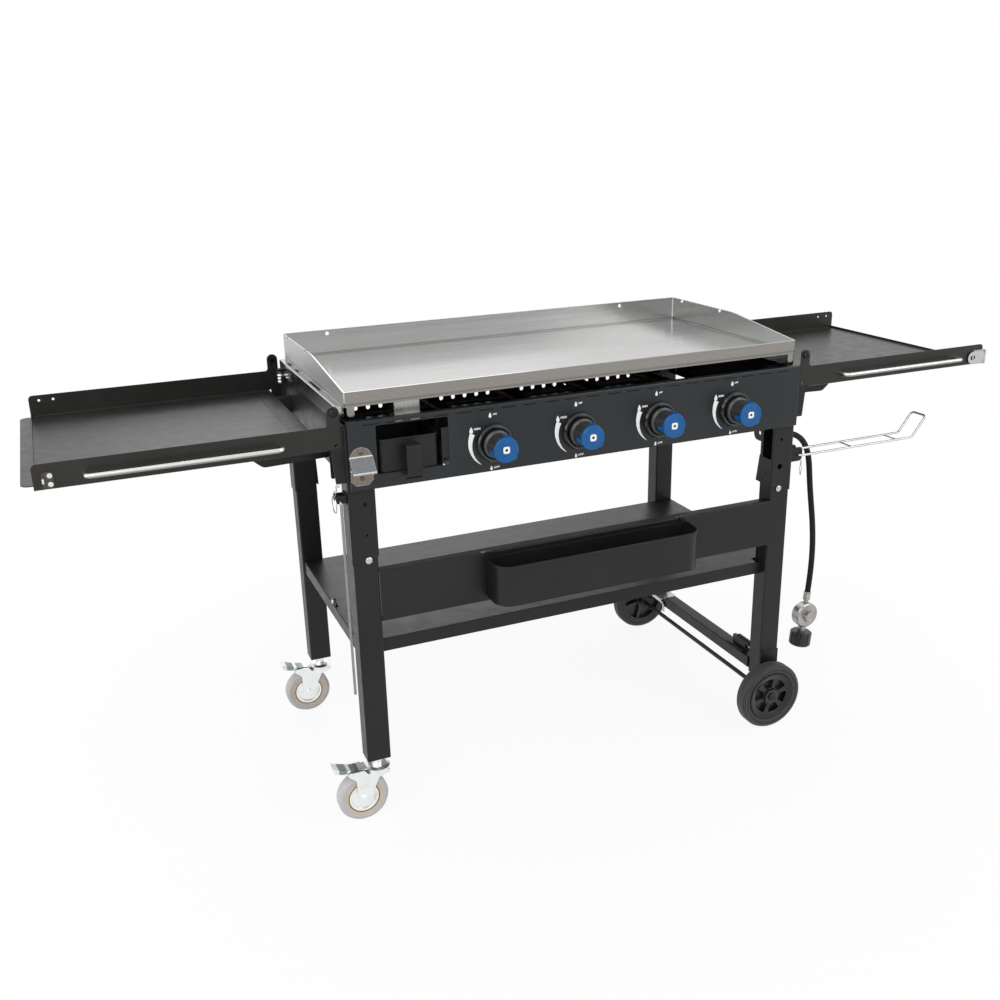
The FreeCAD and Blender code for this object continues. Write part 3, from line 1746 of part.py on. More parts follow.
def wheel_hub(wheel_y):
    """Rim, spokes and bored hub of a large wheel."""
    half = wheel_width / 2
    centre = V(axle_x, wheel_y, wheel_radius)
    rim = turned(
        [
            (-half + 2, wheel_hub_radius - 4),
            (-half + 2, wheel_hub_radius),
            (half - 2, wheel_hub_radius),
            (half - 2, wheel_hub_radius - 4),
        ],
        centre,
        Y_AXIS,
        X_AXIS,
    )
    boss = rod(centre - Y_AXIS * half, centre + Y_AXIS * half, 8 + wheel_bore_wall)
    parts = [rim, boss]
    for k in range(wheel_spoke_count):
        spoke = block(
            axle_x - 4,
            axle_x + 4,
            wheel_y - half + 5,
            wheel_y + half - 5,
            wheel_radius + 12,
            wheel_radius + wheel_hub_radius - 2,
        )
        parts.append(spoke.rotate(centre, Y_AXIS, k * 360 / wheel_spoke_count + 15))
    web = rod(centre - Y_AXIS * 1.5, centre + Y_AXIS * 1.5, wheel_hub_radius - 2)
    parts.append(web)
    bore = rod(
        centre - Y_AXIS * (half + 1), centre + Y_AXIS * (half + 1), axle_radius + running_gap
    )
    return fuse(parts).cut(bore)


def caster_centre(middle_y):
    """Wheel centre of a left-hand caster, trailing outward from its swivel."""
    return V(-leg_centre_x - caster_trail, middle_y, caster_radius)


def caster_fork(middle_y):
    """Swivel plate with bearing ring, collar, stem, two cheeks, axle bolt and pedal pin."""
    swivel = V(-leg_centre_x, middle_y, 0)
    centre = caster_centre(middle_y)
    top = fork_top
    plate = rod(swivel + Z_AXIS * (top - fork_sheet), swivel + Z_AXIS * top, fork_top_radius)
    ring_top = left_leg_bottom - seat_gap
    ring = turned(
        [
            (top, 0),
            (top, fork_top_radius),
            (top + 2, fork_top_radius + 1.5),
            (top + bearing_height - 3, fork_top_radius + 1.5),
            (top + bearing_height, fork_top_radius - 5),
            (top + bearing_height, collar_radius),
            (ring_top, collar_radius),
            (ring_top, 0),
        ],
        swivel,
        Z_AXIS,
        X_AXIS,
    )
    stem = rod(swivel + Z_AXIS * (ring_top - 1), swivel + Z_AXIS * (ring_top + stem_length), stem_radius)
    inner = caster_width / 2 + fork_gap
    ax = centre.x
    sx = swivel.x
    outline = [
        (sx + fork_top_radius - 3, top - 0.5),
        (sx - 24, top - 0.5),
        (sx - 31, top + cheek_rise),
        (sx - 62, top + cheek_rise),
        (sx - 62, top + 2),
        (ax - 14, top - 10),
        (ax - 12, caster_radius),
        (ax + 12, caster_radius),
        (sx - 2, top - 12),
        (sx + fork_top_radius - 3, top - 6),
    ]
    cheeks = []
    for y in (middle_y - inner - fork_sheet, middle_y + inner):
        cheek = plate_xz(outline, y, y + fork_sheet)
        cheek = rounded(cheek, 5, Y_AXIS, lambda m: m.x < sx - 61 and m.z > top + cheek_rise - 1)
        cheek = rounded(cheek, 9, Y_AXIS, lambda m: abs(m.x - ax + 14) < 1 and m.z < top - 5)
        foot = rod(V(ax, y, caster_radius), V(ax, y + fork_sheet, caster_radius), 12)
        cheeks.append(cheek.fuse(foot))
    reach = inner + fork_sheet
    saddle = block(
        sx - 20, sx + fork_top_radius - 3, middle_y - reach, middle_y + reach, top - fork_sheet, top
    )
    bolt = rod(centre - Y_AXIS * (reach + 1), centre + Y_AXIS * (reach + 1), caster_bore - running_gap)
    heads = [
        rod(centre - Y_AXIS * reach, centre - Y_AXIS * (reach + 4), 7),
        rod(centre + Y_AXIS * reach, centre + Y_AXIS * (reach + 4), 7),
    ]
    pivot = V(sx - pedal_pivot_reach, middle_y, top + pedal_pivot_rise)
    pin = rod(pivot - Y_AXIS * reach, pivot + Y_AXIS * reach, pedal_pivot_radius)
    return fuse([plate, ring, stem, saddle, bolt, pin] + cheeks + heads)


def caster_tyre(middle_y):
    """Rubber tread of a caster wheel."""
    half = caster_width / 2
    r = caster_radius
    profile = [
        (-half + 1, caster_rim_radius),
        (-half, r - 6),
        (-half + 2, r - 2),
        (-half + 6, r),
        (half - 6, r),
        (half - 2, r - 2),
        (half, r - 6),
        (half - 1, caster_rim_radius),
    ]
    return turned(profile, caster_centre(middle_y), Y_AXIS, X_AXIS)


def caster_hub(middle_y):
    """Dished and bored centre of a caster wheel."""
    half = caster_width / 2
    profile = [
        (-half + 1, caster_bore),
        (-half + 1, 12),
        (-half + 4, caster_rim_radius - 6),
        (-half + 1, caster_rim_radius - 4),
        (-half + 1, caster_rim_radius),
        (half - 1, caster_rim_radius),
        (half - 1, caster_rim_radius - 4),
        (half - 4, caster_rim_radius - 6),
        (half - 1, 12),
        (half - 1, caster_bore),
    ]
    return turned(profile, caster_centre(middle_y), Y_AXIS, X_AXIS)


def caster_pedal(middle_y):
    """Ribbed brake pedal on the fork's cross pin."""
    sx = -leg_centre_x
    px = sx - pedal_pivot_reach
    pz = fork_top + pedal_pivot_rise
    t = pedal_sheet
    half = pedal_width / 2
    end_x = px - pedal_length
    end_z = pz + 8.5 + pedal_rise
    lever = [
        (px + 20, pz + 3.5),
        (px + 20, pz + 6),
        (px - 4, pz + 7),
        (px - 12, pz + 8.5),
        (end_x, end_z),
        (end_x + 0.6, end_z - t),
        (px - 11, pz + 8.5 - t),
        (px - 4, pz + 4.2),
    ]
    tread = plate_xz(lever, middle_y - half, middle_y + half)
    slope = pedal_rise / (pedal_length - 12)
    cheek = [
        (px + 5, pz - 4.5),
        (px + 5, pz + 5),
        (px - 12, pz + 7),
        (end_x + 2, end_z - 1.5 - 2 * slope),
        (end_x + 2, end_z - 9 - 2 * slope),
        (px - 12, pz - 1),
        (px - 6, pz - 4.5),
    ]
    pieces = [tread]
    for y in (middle_y - half, middle_y + half - 2):
        pieces.append(rounded(plate_xz(cheek, y, y + 2), 2, Y_AXIS, lambda m: m.z < pz - 4))
    shoe = plate_xz(
        [(px - 6, pz + 5), (px - 18, pz + 8), (px - 18, pz - 5), (px - 10, pz - 3)],
        middle_y - 8,
        middle_y + 8,
    )
    pieces.append(shoe)
    run = V(end_x - (px - 12), 0, pedal_rise)
    for share in (0.3, 0.45, 0.6, 0.75, 0.9):
        at = V(px - 12, middle_y - half + 2, pz + 8.5) + run * share
        rib = rod(at, at + Y_AXIS * (pedal_width - 4), 1.2)
        pieces.append(rib)
    pin_hole = rod(
        V(px, middle_y - half - 1, pz),
        V(px, middle_y + half + 1, pz),
        pedal_pivot_radius + running_gap,
    )
    return fuse(pieces).cut(pin_hole)


def hose_radii():
    """Bend radii of the hose: 0.45 of the shorter run beside each bend sets its tangent."""
    radii = []
    for k in range(1, len(hose_route) - 1):
        before = hose_route[k] - hose_route[k - 1]
        after = hose_route[k + 1] - hose_route[k]
        shorter = min(before.Length, after.Length)
        half_turn = before.getAngle(after) / 2
        radii.append(0.45 * shorter / math.tan(half_turn))
    return radii


def gas_hose():
    """Free length of the hose from the manifold's fitting to the regulator's ferrule."""
    path = bent_path(list(hose_route), hose_radii())
    shape = bar_along(path, hose_radius)
    ideal = path.Length * math.pi * hose_radius ** 2
    print("hose length", round(path.Length, 1), "volume ratio", round(shape.Volume / ideal, 4))
    print("hose bend radii", [round(r) for r in hose_radii()])
    return shape


def hose_end_direction():
    """Direction in which the hose arrives at its lower end."""
    return (hose_route[-1] - hose_route[-2]).normalize()


def regulator():
    """Ferrule, round regulator body with its bonnet, and the cylinder stub."""
    end = hose_route[-1]
    d = hose_end_direction()
    side = Y_AXIS - d * Y_AXIS.dot(d)
    side.normalize()
    ferrule = rod(end, end + d * ferrule_length, ferrule_radius)
    neck = rod(end + d * (ferrule_length - 1), end + d * (regulator_drop - 20), 5)
    centre = end + d * regulator_drop
    half = regulator_depth / 2
    body = turned(
        [
            (-half - bonnet_height, 0),
            (-half - bonnet_height, bonnet_radius - 2),
            (-half, bonnet_radius + 1),
            (-half, regulator_radius - 3),
            (-half + 3, regulator_radius),
            (half - 6, regulator_radius),
            (half, regulator_radius - 5),
            (half, 0),
        ],
        centre,
        side,
        d,
    )
    stub = rod(centre, end + d * (nut_drop + nut_length - coupling_depth + seat_gap), 9)
    flange_start = nut_drop + nut_length - coupling_depth + seat_gap
    flange = rod(end + d * flange_start, end + d * (flange_start + 3), 12)
    nipple = rod(end + d * flange_start, end + d * (nut_drop + nut_length - 4), 6.5)
    return fuse([ferrule, neck, body, stub, flange, nipple])


def handwheel_nut():
    """Hand nut that couples the regulator to a gas cylinder."""
    end = hose_route[-1]
    d = hose_end_direction()
    start = end + d * nut_drop
    finish = start + d * nut_length
    across = Y_AXIS - d * Y_AXIS.dot(d)
    across.normalize()
    outer = turned(
        [
            (0, 0),
            (0, nut_radius - 4),
            (3, nut_radius),
            (nut_length - 3, nut_radius),
            (nut_length, nut_radius - 3),
            (nut_length, 0),
        ],
        start,
        d,
        across,
    )
    tools = [
        rod(start - d, finish, 9 + running_gap),
        rod(finish - d * coupling_depth, finish + d, coupling_radius),
    ]
    for k in range(nut_grip_count):
        turn = FreeCAD.Rotation(d, k * 360 / nut_grip_count)
        outward = turn.multVec(across)
        centre = start + outward * (nut_radius + 3.2 - nut_grip_depth)
        tools.append(rod(centre - d, centre + d * (nut_length + 2), 3.2))
    return cut_all(outer, tools)


def leg_rivets():
    """One rivet through each sleeve and the leg inside it."""
    rivets = []
    for face_y, outward in ((frame_front_y, -1), (frame_rear_y, 1)):
        centre = V(leg_hole_x, face_y, leg_rivet_height)
        inner = centre - Y_AXIS * outward * (2 * leg_wall + leg_clearance + 2)
        head = rounded_head(centre, Y_AXIS * outward, leg_rivet_head, 2.4)
        rivet = fuse([head, rod(inner, centre, leg_rivet_radius)])
        rivets.extend([rivet, mirrored(rivet)])
    return rivets


def pivot_bolts():
    """Bolts on which the shelves turn, with a head outside and a nut inside."""
    bolts = []
    for face_y, outward in ((frame_front_y, -1), (frame_rear_y, 1)):
        face = V(hinge_x, face_y, hinge_height) + Y_AXIS * outward * seat_gap
        head = rounded_head(face, Y_AXIS * outward, pivot_head_radius, pivot_head_height)
        nut_y = face_y - outward * (shelf_sheet + 0.5 + post_sheet)
        shank_end = nut_y - outward * 5
        shank = rod(face, V(hinge_x, shank_end, hinge_height), pivot_bolt_radius)
        nut = rod(V(hinge_x, nut_y, hinge_height), V(hinge_x, nut_y - outward * 4, hinge_height), 6)
        bolt = fuse([head, shank, nut])
        bolts.extend([bolt, mirrored(bolt)])
    return bolts


def opener_screws():
    """Screws that hold the bottle opener to the panel."""
    screws = []
    for z in opener_screw_heights:
        face = V(opener_x, panel_front_y - opener_sheet, z)
        head = rounded_head(face, Y_AXIS * -1, screw_head_radius, screw_head_height)
        shank = rod(V(opener_x, panel_front_y, z), face, screw_radius)
        screws.append(fuse([head, shank]))
    return screws


def clip_screws():
    """Screws in the lower shelf's side tabs."""
    screws = []
    for side in (-1, 1):
        face = V(
            side * (low_shelf_half_width - 1.5 - shelf_clip_sheet),
            shelf_clip_y,
            low_shelf_bottom + shelf_clip_rise + shelf_clip_height - 10,
        )
        screws.append(rounded_head(face, X_AXIS * -side, 4.5, 2.4))
    return screws


def tank_rod():
    """Bent rod and plate on the low cross tube that steady the gas cylinder."""
    x = cross_tube_inner_x - tank_rod_radius
    z = cross_tube_top - 16
    bend_y = tank_rod_rear_y - tank_rod_run
    route = [V(x, tank_rod_rear_y, z), V(x, bend_y, z), V(x, bend_y, z - 22)]
    bar = bent_bar(route, 8, tank_rod_radius)
    plate = block(
        cross_tube_inner_x - 17,
        cross_tube_inner_x + cross_tube_width - 2,
        bend_y - 8,
        bend_y + 23,
        cross_tube_top,
        cross_tube_top + 2.5,
    )
    return [bar, rounded(plate, 4, Z_AXIS)]


def rail_spring():
    """Coiled catch standing beside the left rail near the rear."""
    x = -rail_outer_x - 6
    foot = sleeve_top - 17
    profile = [(0, 0)]
    turns = 5
    pitch = 6.4
    for k in range(turns):
        profile.extend([(k * pitch, 4.8), (k * pitch + pitch / 2, 6)])
    profile.append((turns * pitch, 0))
    return turned(profile, V(x, rail_rear_y - 21, foot), Z_AXIS, X_AXIS)


def fasteners():
    """Zinc hardware of the frame."""
    group = leg_rivets() + pivot_bolts() + opener_screws() + clip_screws()
    return group + tank_rod() + [rail_spring()]


os.makedirs("parts", exist_ok=True)

sleeves = []
for middle_y, outward in ((front_leg_y, -1), (rear_leg_y, 1)):
    sleeves.append(mirrored(leg_sleeve(middle_y, outward, left_leg_hole_radii)))
    sleeves.append(leg_sleeve(middle_y, outward, right_leg_hole_radii))
panel_side = side_panel()
rail = support_rail()
front_post = hinge_post(True)
rear_post = hinge_post(False)
shelf_arms = [support_arm(y) for y in arm_ys]
right_shelf = side_shelf()
right_handle = shelf_handle()

save("front_panel", front_panel())
save("rear_panel", rear_panel())
save("side_panels", [panel_side, mirrored(panel_side)] + heat_shield())
save("support_rails", [rail, mirrored(rail)])
save("leg_sleeves", sleeves)
save("lower_legs", lower_legs())
save("cross_tube", cross_tube())
save("front_beam", front_beam())
save("lower_shelf", lower_shelf())
save("small_brackets", small_brackets())
save("manifold", manifold())
save("gas_valves", [gas_valve(x) for x in knob_xs])
save("burners", [burner(x) for x in knob_xs])
save("knob_bezels", [knob_bezel(x) for x in knob_xs])
save("bottle_opener", bottle_opener())
save("fasteners", fasteners())
save("hinge_posts", [front_post, mirrored(front_post), rear_post, mirrored(rear_post)])
save("support_arms", shelf_arms + [mirrored(arm) for arm in shelf_arms])
save("axle", axle())
save("cup_holder", cup_holder())
save("griddle_plate", griddle_plate())
save("grease_chute", grease_chute())
save("grease_cup", grease_cup())
save("left_shelf", left_shelf())
save("left_handle", mirrored(right_handle))
save("latch_catch", latch_catch())
save("right_shelf", right_shelf)
save("right_handle", right_handle)
save("hasp_base", hasp_base())
save("hasp_strap", hasp_strap())
save("condiment_bin", condiment_bin())
for number, x in enumerate(knob_xs, start=1):
    save("valve_spindle_" + str(number), valve_spindle(x))
    save("knob_body_" + str(number), knob_body(x))
    save("knob_cap_" + str(number), knob_cap(x))
for place, middle_y in (("front", front_leg_y), ("rear", rear_leg_y)):
    save("caster_fork_" + place, caster_fork(middle_y))
    save("caster_tyre_" + place, caster_tyre(middle_y))
    save("caster_hub_" + place, caster_hub(middle_y))
    save("caster_pedal_" + place, caster_pedal(middle_y))
for place, wheel_y in (("front", front_wheel_y), ("rear", rear_wheel_y)):
    save("wheel_tyre_" + place, wheel_tyre(wheel_y))
    save("wheel_hub_" + place, wheel_hub(wheel_y))
save("towel_arm", towel_arm())
save("tool_rod", tool_rod())
save("gas_hose", gas_hose())
save("regulator", regulator())
save("handwheel_nut", handwheel_nut())
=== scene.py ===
"""Outdoor gas griddle station: camera, hose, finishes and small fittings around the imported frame."""
import math
import bmesh
import bpy
from mathutils import Matrix, Vector


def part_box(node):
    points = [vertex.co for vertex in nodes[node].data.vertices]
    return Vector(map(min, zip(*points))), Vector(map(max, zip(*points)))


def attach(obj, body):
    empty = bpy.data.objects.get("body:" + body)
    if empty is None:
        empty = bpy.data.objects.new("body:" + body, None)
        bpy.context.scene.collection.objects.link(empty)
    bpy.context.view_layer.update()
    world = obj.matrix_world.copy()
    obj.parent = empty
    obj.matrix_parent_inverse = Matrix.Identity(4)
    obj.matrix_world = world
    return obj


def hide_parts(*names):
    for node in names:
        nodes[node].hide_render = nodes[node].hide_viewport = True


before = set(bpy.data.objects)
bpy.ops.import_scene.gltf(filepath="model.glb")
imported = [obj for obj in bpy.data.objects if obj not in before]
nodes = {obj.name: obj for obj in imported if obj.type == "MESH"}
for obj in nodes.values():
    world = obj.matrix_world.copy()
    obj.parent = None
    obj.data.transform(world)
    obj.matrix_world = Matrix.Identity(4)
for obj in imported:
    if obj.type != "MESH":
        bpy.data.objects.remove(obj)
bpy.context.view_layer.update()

# Camera
CAMERA_PLACE = Vector((-0.9099, -1.9747, 1.2802))
CAMERA_YAW = math.radians(22.593)
CAMERA_PITCH = math.radians(19.367)
CAMERA_ROLL = math.radians(-1.361)
CAMERA_LENS = 38.48
CAMERA_SENSOR = 36.0
CAMERA_NEAR = 0.05
CAMERA_FAR = 60.0

# Hose, the same points as in the part's source
HOSE_DIAMETER = 0.0128
HOSE_ROUTE = (
    (0.408, -0.176, 0.694),
    (0.438, -0.175, 0.664),
    (0.494, -0.171, 0.643),
    (0.550, -0.165, 0.630),
    (0.583, -0.161, 0.587),
    (0.594, -0.160, 0.502),
    (0.614, -0.159, 0.394),
    (0.617, -0.1595, 0.302),
    (0.611, -0.160, 0.244),
)

# Height of the griddle plate's cooking surface
PLATE_FLOOR_TOP = 0.8315

KNOB_COUNT = 4

# Printed marks: distance in front of the panel, thickness, depth and boldness of the words, steps
# round a flame, and how broad it is
MARK_STANDOFF = 0.00008
MARK_THICKNESS = 0.00005
WORD_DEPTH = 0.00003
WORD_BOLDNESS = 0.045
FLAME_STEPS = 14
FLAME_BREADTH = 0.38

# Marks round each knob: word, flame's place and size, word's place and height; places are
# measured from the knob's middle, to the right and up
KNOB_MARKS = (
    ("OFF", (-0.0068, 0.0515), 0.0100, (-0.0015, 0.0522), 0.0044),
    ("HIGH", (-0.0440, 0.0275), 0.0125, (-0.0385, 0.0290), 0.0052),
    ("LOW", (-0.0065, -0.0480), 0.0085, (-0.0015, -0.0475), 0.0046),
)

# Tapered scale round each knob: radius, angles of its ends from the right, widths at its ends
SCALE_RADIUS = 0.0465
SCALE_START = math.radians(154)
SCALE_END = math.radians(236)
SCALE_THICK = 0.0098
SCALE_TIP = 0.0006
SCALE_STEPS = 18

# Marks on the caps: half width of the square, half width and height of the dot, and how far the
# back of each print lies behind the cap's front
CAP_SQUARE = 0.0064
CAP_DOT = (0.0028, 0.0026)
CAP_SQUARE_SINK = 0.00002
CAP_DOT_SINK = -0.00001
CAP_MARK_STEPS = 32

# Floor: half its width, the distances from the middle between which it goes plain white to the
# camera, the share of plain white inside them, its own colour and roughness
FLOOR_REACH = 14.0
FLOOR_FADE_START = 0.3
FLOOR_FADE_END = 1.7
FLOOR_WHITE_NEAR = 0.90
FLOOR_COLOUR = (0.88, 0.88, 0.88, 1.0)
FLOOR_ROUGHNESS = 0.9

# Light: even light of the surroundings, and lamps as (name, place, target, size, power)
WHITE = (1.0, 1.0, 1.0, 1.0)
SOFT_LIGHT = 0.55
LAMPS = (
    ("key", (-2.2, -2.6, 3.4), (0.0, 0.0, 0.6), 2.6, 60.0),
    ("fill", (2.6, -2.4, 2.6), (0.0, 0.0, 0.6), 2.4, 26.0),
    ("back", (0.4, 3.0, 3.2), (0.0, 0.0, 0.7), 2.4, 30.0),
    ("left", (-3.4, -0.4, 1.3), (-0.4, 0.0, 0.5), 2.0, 30.0),
    ("glint", (1.5, -1.9, 2.6), (0.1, -0.25, 0.74), 0.7, 8.0),
)

# Parts of a noise's range over which a colour or a roughness goes from end to end
CLOUD_RANGE = (0.35, 0.7)
GRAIN_RANGE = (0.3, 0.7)

# Edges: rays of the edge finder, and how far its normal agrees on a flat face and on an edge
BEVEL_SAMPLES = 4
EDGE_FLAT = 0.98
EDGE_SHARP = 0.75

# Moulded rings on the large tyre, raised by a bump and painted lighter as highlights, as (share of its
# radius, half width)
TYRE_RINGS = ((0.768, 0.0009), (0.800, 0.0007), (0.905, 0.0012), (0.955, 0.0007))

# Sunk windows of a brake pedal, filled with painted shade, as shares of its length
PEDAL_WINDOWS = ((0.16, 0.40), (0.50, 0.74))

# Height above which small fittings are blackened
BLACK_FITTINGS_ABOVE = 0.805

# Casters: outer radius of the tan ring inside the grey tread, and of the dark ring of painted shade in
# the recess inside it
CASTER_RING_RADIUS = 0.0355
CASTER_SHADE_RADIUS = 0.0315

# Bottle opener: heights between which its hood stands out
OPENER_HOOD_TOP = 0.745
OPENER_HOOD_BOTTOM = 0.719

# Lower shelf's flat top on the pan's rims
SHELF_TOP_Z = 0.3742
SHELF_TOP_SHEET = 0.0012
SHELF_TOP_OUTLINE = (
    (-0.4272, -0.2188), (0.4172, -0.2188), (0.4172, -0.1974), (0.4690, -0.1974),
    (0.4690, -0.0470), (0.4630, -0.0470), (0.4630, -0.0130), (0.4690, -0.0130),
    (0.4690, 0.2194), (-0.4690, 0.2194), (-0.4690, -0.0130), (-0.4630, -0.0130),
    (-0.4630, -0.0470), (-0.4690, -0.0470), (-0.4690, -0.1974), (-0.4272, -0.1974),
)

# Domed nut on the outside of the left shelf clip: middle of its foot, radius, height, and its
# profile as (share of the radius, share of the height)
CLIP_NUT_PLACE = (-0.4685, -0.0300, 0.3820)
CLIP_NUT_RADIUS = 0.0052
CLIP_NUT_HEIGHT = 0.0048
CLIP_NUT_PROFILE = ((1.0, 0.0), (1.0, 0.45), (0.86, 0.72), (0.55, 0.93), (0.18, 1.0))
CLIP_NUT_STEPS = 20

# Tray under the burners
TRAY_OUTLINE = (
    (-0.4610, -0.1650), (0.4610, -0.1650), (0.4610, 0.1930), (0.4250, 0.1930),
    (0.4250, 0.2200), (-0.4250, 0.2200), (-0.4250, 0.1930), (-0.4610, 0.1930),
)
TRAY_Z = 0.6850
TRAY_SHEET = 0.0012

# Large wheels: axle line as (x, z), outer faces as (y, direction of depth), dished face as
# (radius, depth)
WHEEL_LINE = (0.432, 0.075)
WHEEL_OUTER_FACES = {"front": (-0.2840, 1.0), "rear": (0.3060, -1.0)}
WHEEL_FACE_PROFILE = (
    (0.0172, 0.0047), (0.0200, 0.0047), (0.0300, 0.0047), (0.0375, 0.0047), (0.0400, 0.0046),
    (0.0430, 0.0040), (0.0460, 0.0030), (0.0490, 0.0017), (0.0515, 0.0010), (0.0532, 0.0008),
    (0.0545, 0.0012),
)
WHEEL_FACE_SHEET = 0.0008

# Windows between the spokes: count, inner and outer radius, then counts of 5 degree steps: a full
# turn, one window, and from upright to the middle of the first spoke
WHEEL_WINDOW_COUNT = 6
WHEEL_WINDOW = (0.0200, 0.0400)
WHEEL_TURN_STEPS = 72
WHEEL_WINDOW_STEPS = 8
WHEEL_FIRST_SPOKE = 3

# Spring clips on short chains: radius of the wire, steps round a ring and round its wire, and
# rings as (centre, half width, half height, faces the side)
CHAIN_WIRE = 0.0008
CLIP_WIRE = 0.0010
RING_STEPS = 28
WIRE_STEPS = 8
LEFT_CLIP = ((-0.4968, -0.222, 0.6545), 0.0150, 0.0160, True)
LEFT_CHAIN = (
    ((-0.4955, -0.2225, 0.6745), 0.0024, 0.0050, False),
    ((-0.4915, -0.2225, 0.6825), 0.0024, 0.0050, True),
    ((-0.4870, -0.2225, 0.6900), 0.0024, 0.0050, False),
    ((-0.4805, -0.2225, 0.6965), 0.0024, 0.0050, True),
)
RIGHT_CHAIN = (
    ((0.5055, -0.2325, 0.5900), 0.0012, 0.0065, False),
    ((0.5055, -0.2328, 0.5780), 0.0030, 0.0062, False),
    ((0.5055, -0.2330, 0.5690), 0.0014, 0.0045, True),
)


def find_node(tree, kind):
    """The first node of that kind in the tree."""
    return next(node for node in tree.nodes if node.type == kind)


def new_object(name, data):
    """An object with that data, linked to the scene."""
    thing = bpy.data.objects.new(name, data)
    bpy.context.scene.collection.objects.link(thing)
    return thing


def turns(count):
    """Angles of that many equal steps round a full turn."""
    return [2 * math.pi * k / count for k in range(count)]


def make_camera():
    """Camera at the photograph's angle, made from its place and three turns."""
    forward = Vector((
        math.sin(CAMERA_YAW) * math.cos(CAMERA_PITCH),
        math.cos(CAMERA_YAW) * math.cos(CAMERA_PITCH),
        -math.sin(CAMERA_PITCH),
    ))
    level = Vector((math.cos(CAMERA_YAW), -math.sin(CAMERA_YAW), 0.0))
    upright = level.cross(forward)
    side = level * math.cos(CAMERA_ROLL) + upright * math.sin(CAMERA_ROLL)
    up = upright * math.cos(CAMERA_ROLL) - level * math.sin(CAMERA_ROLL)
    turn = Matrix((side, up, -forward)).transposed()
    data = bpy.data.cameras.new("camera")
    data.lens = CAMERA_LENS
    data.sensor_width = CAMERA_SENSOR
    data.clip_start = CAMERA_NEAR
    data.clip_end = CAMERA_FAR
    camera = new_object("camera", data)
    camera.matrix_world = Matrix.Translation(CAMERA_PLACE) @ turn.to_4x4()
    bpy.context.scene.camera = camera


def make_hose():
    """Rubber hose from the manifold's fitting down to the regulator, one smooth spline.

    The curve's bevel is 1 m, so that the radius of each point is the hose's own in metres.
    """
    curve = bpy.data.curves.new("hose", "CURVE")
    curve.dimensions = "3D"
    curve.resolution_u = 12
    curve.bevel_depth = 1.0
    curve.bevel_resolution = 6
    curve.use_fill_caps = True
    spline = curve.splines.new("NURBS")
    spline.points.add(len(HOSE_ROUTE) - 1)
    for point, place in zip(spline.points, HOSE_ROUTE):
        point.co = (*place, 1.0)
        point.radius = HOSE_DIAMETER / 2
    spline.order_u = 3
    spline.use_endpoint_u = True
    hose = new_object("hose", curve)
    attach(hose, "station")
    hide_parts("gas_hose")
    return hose


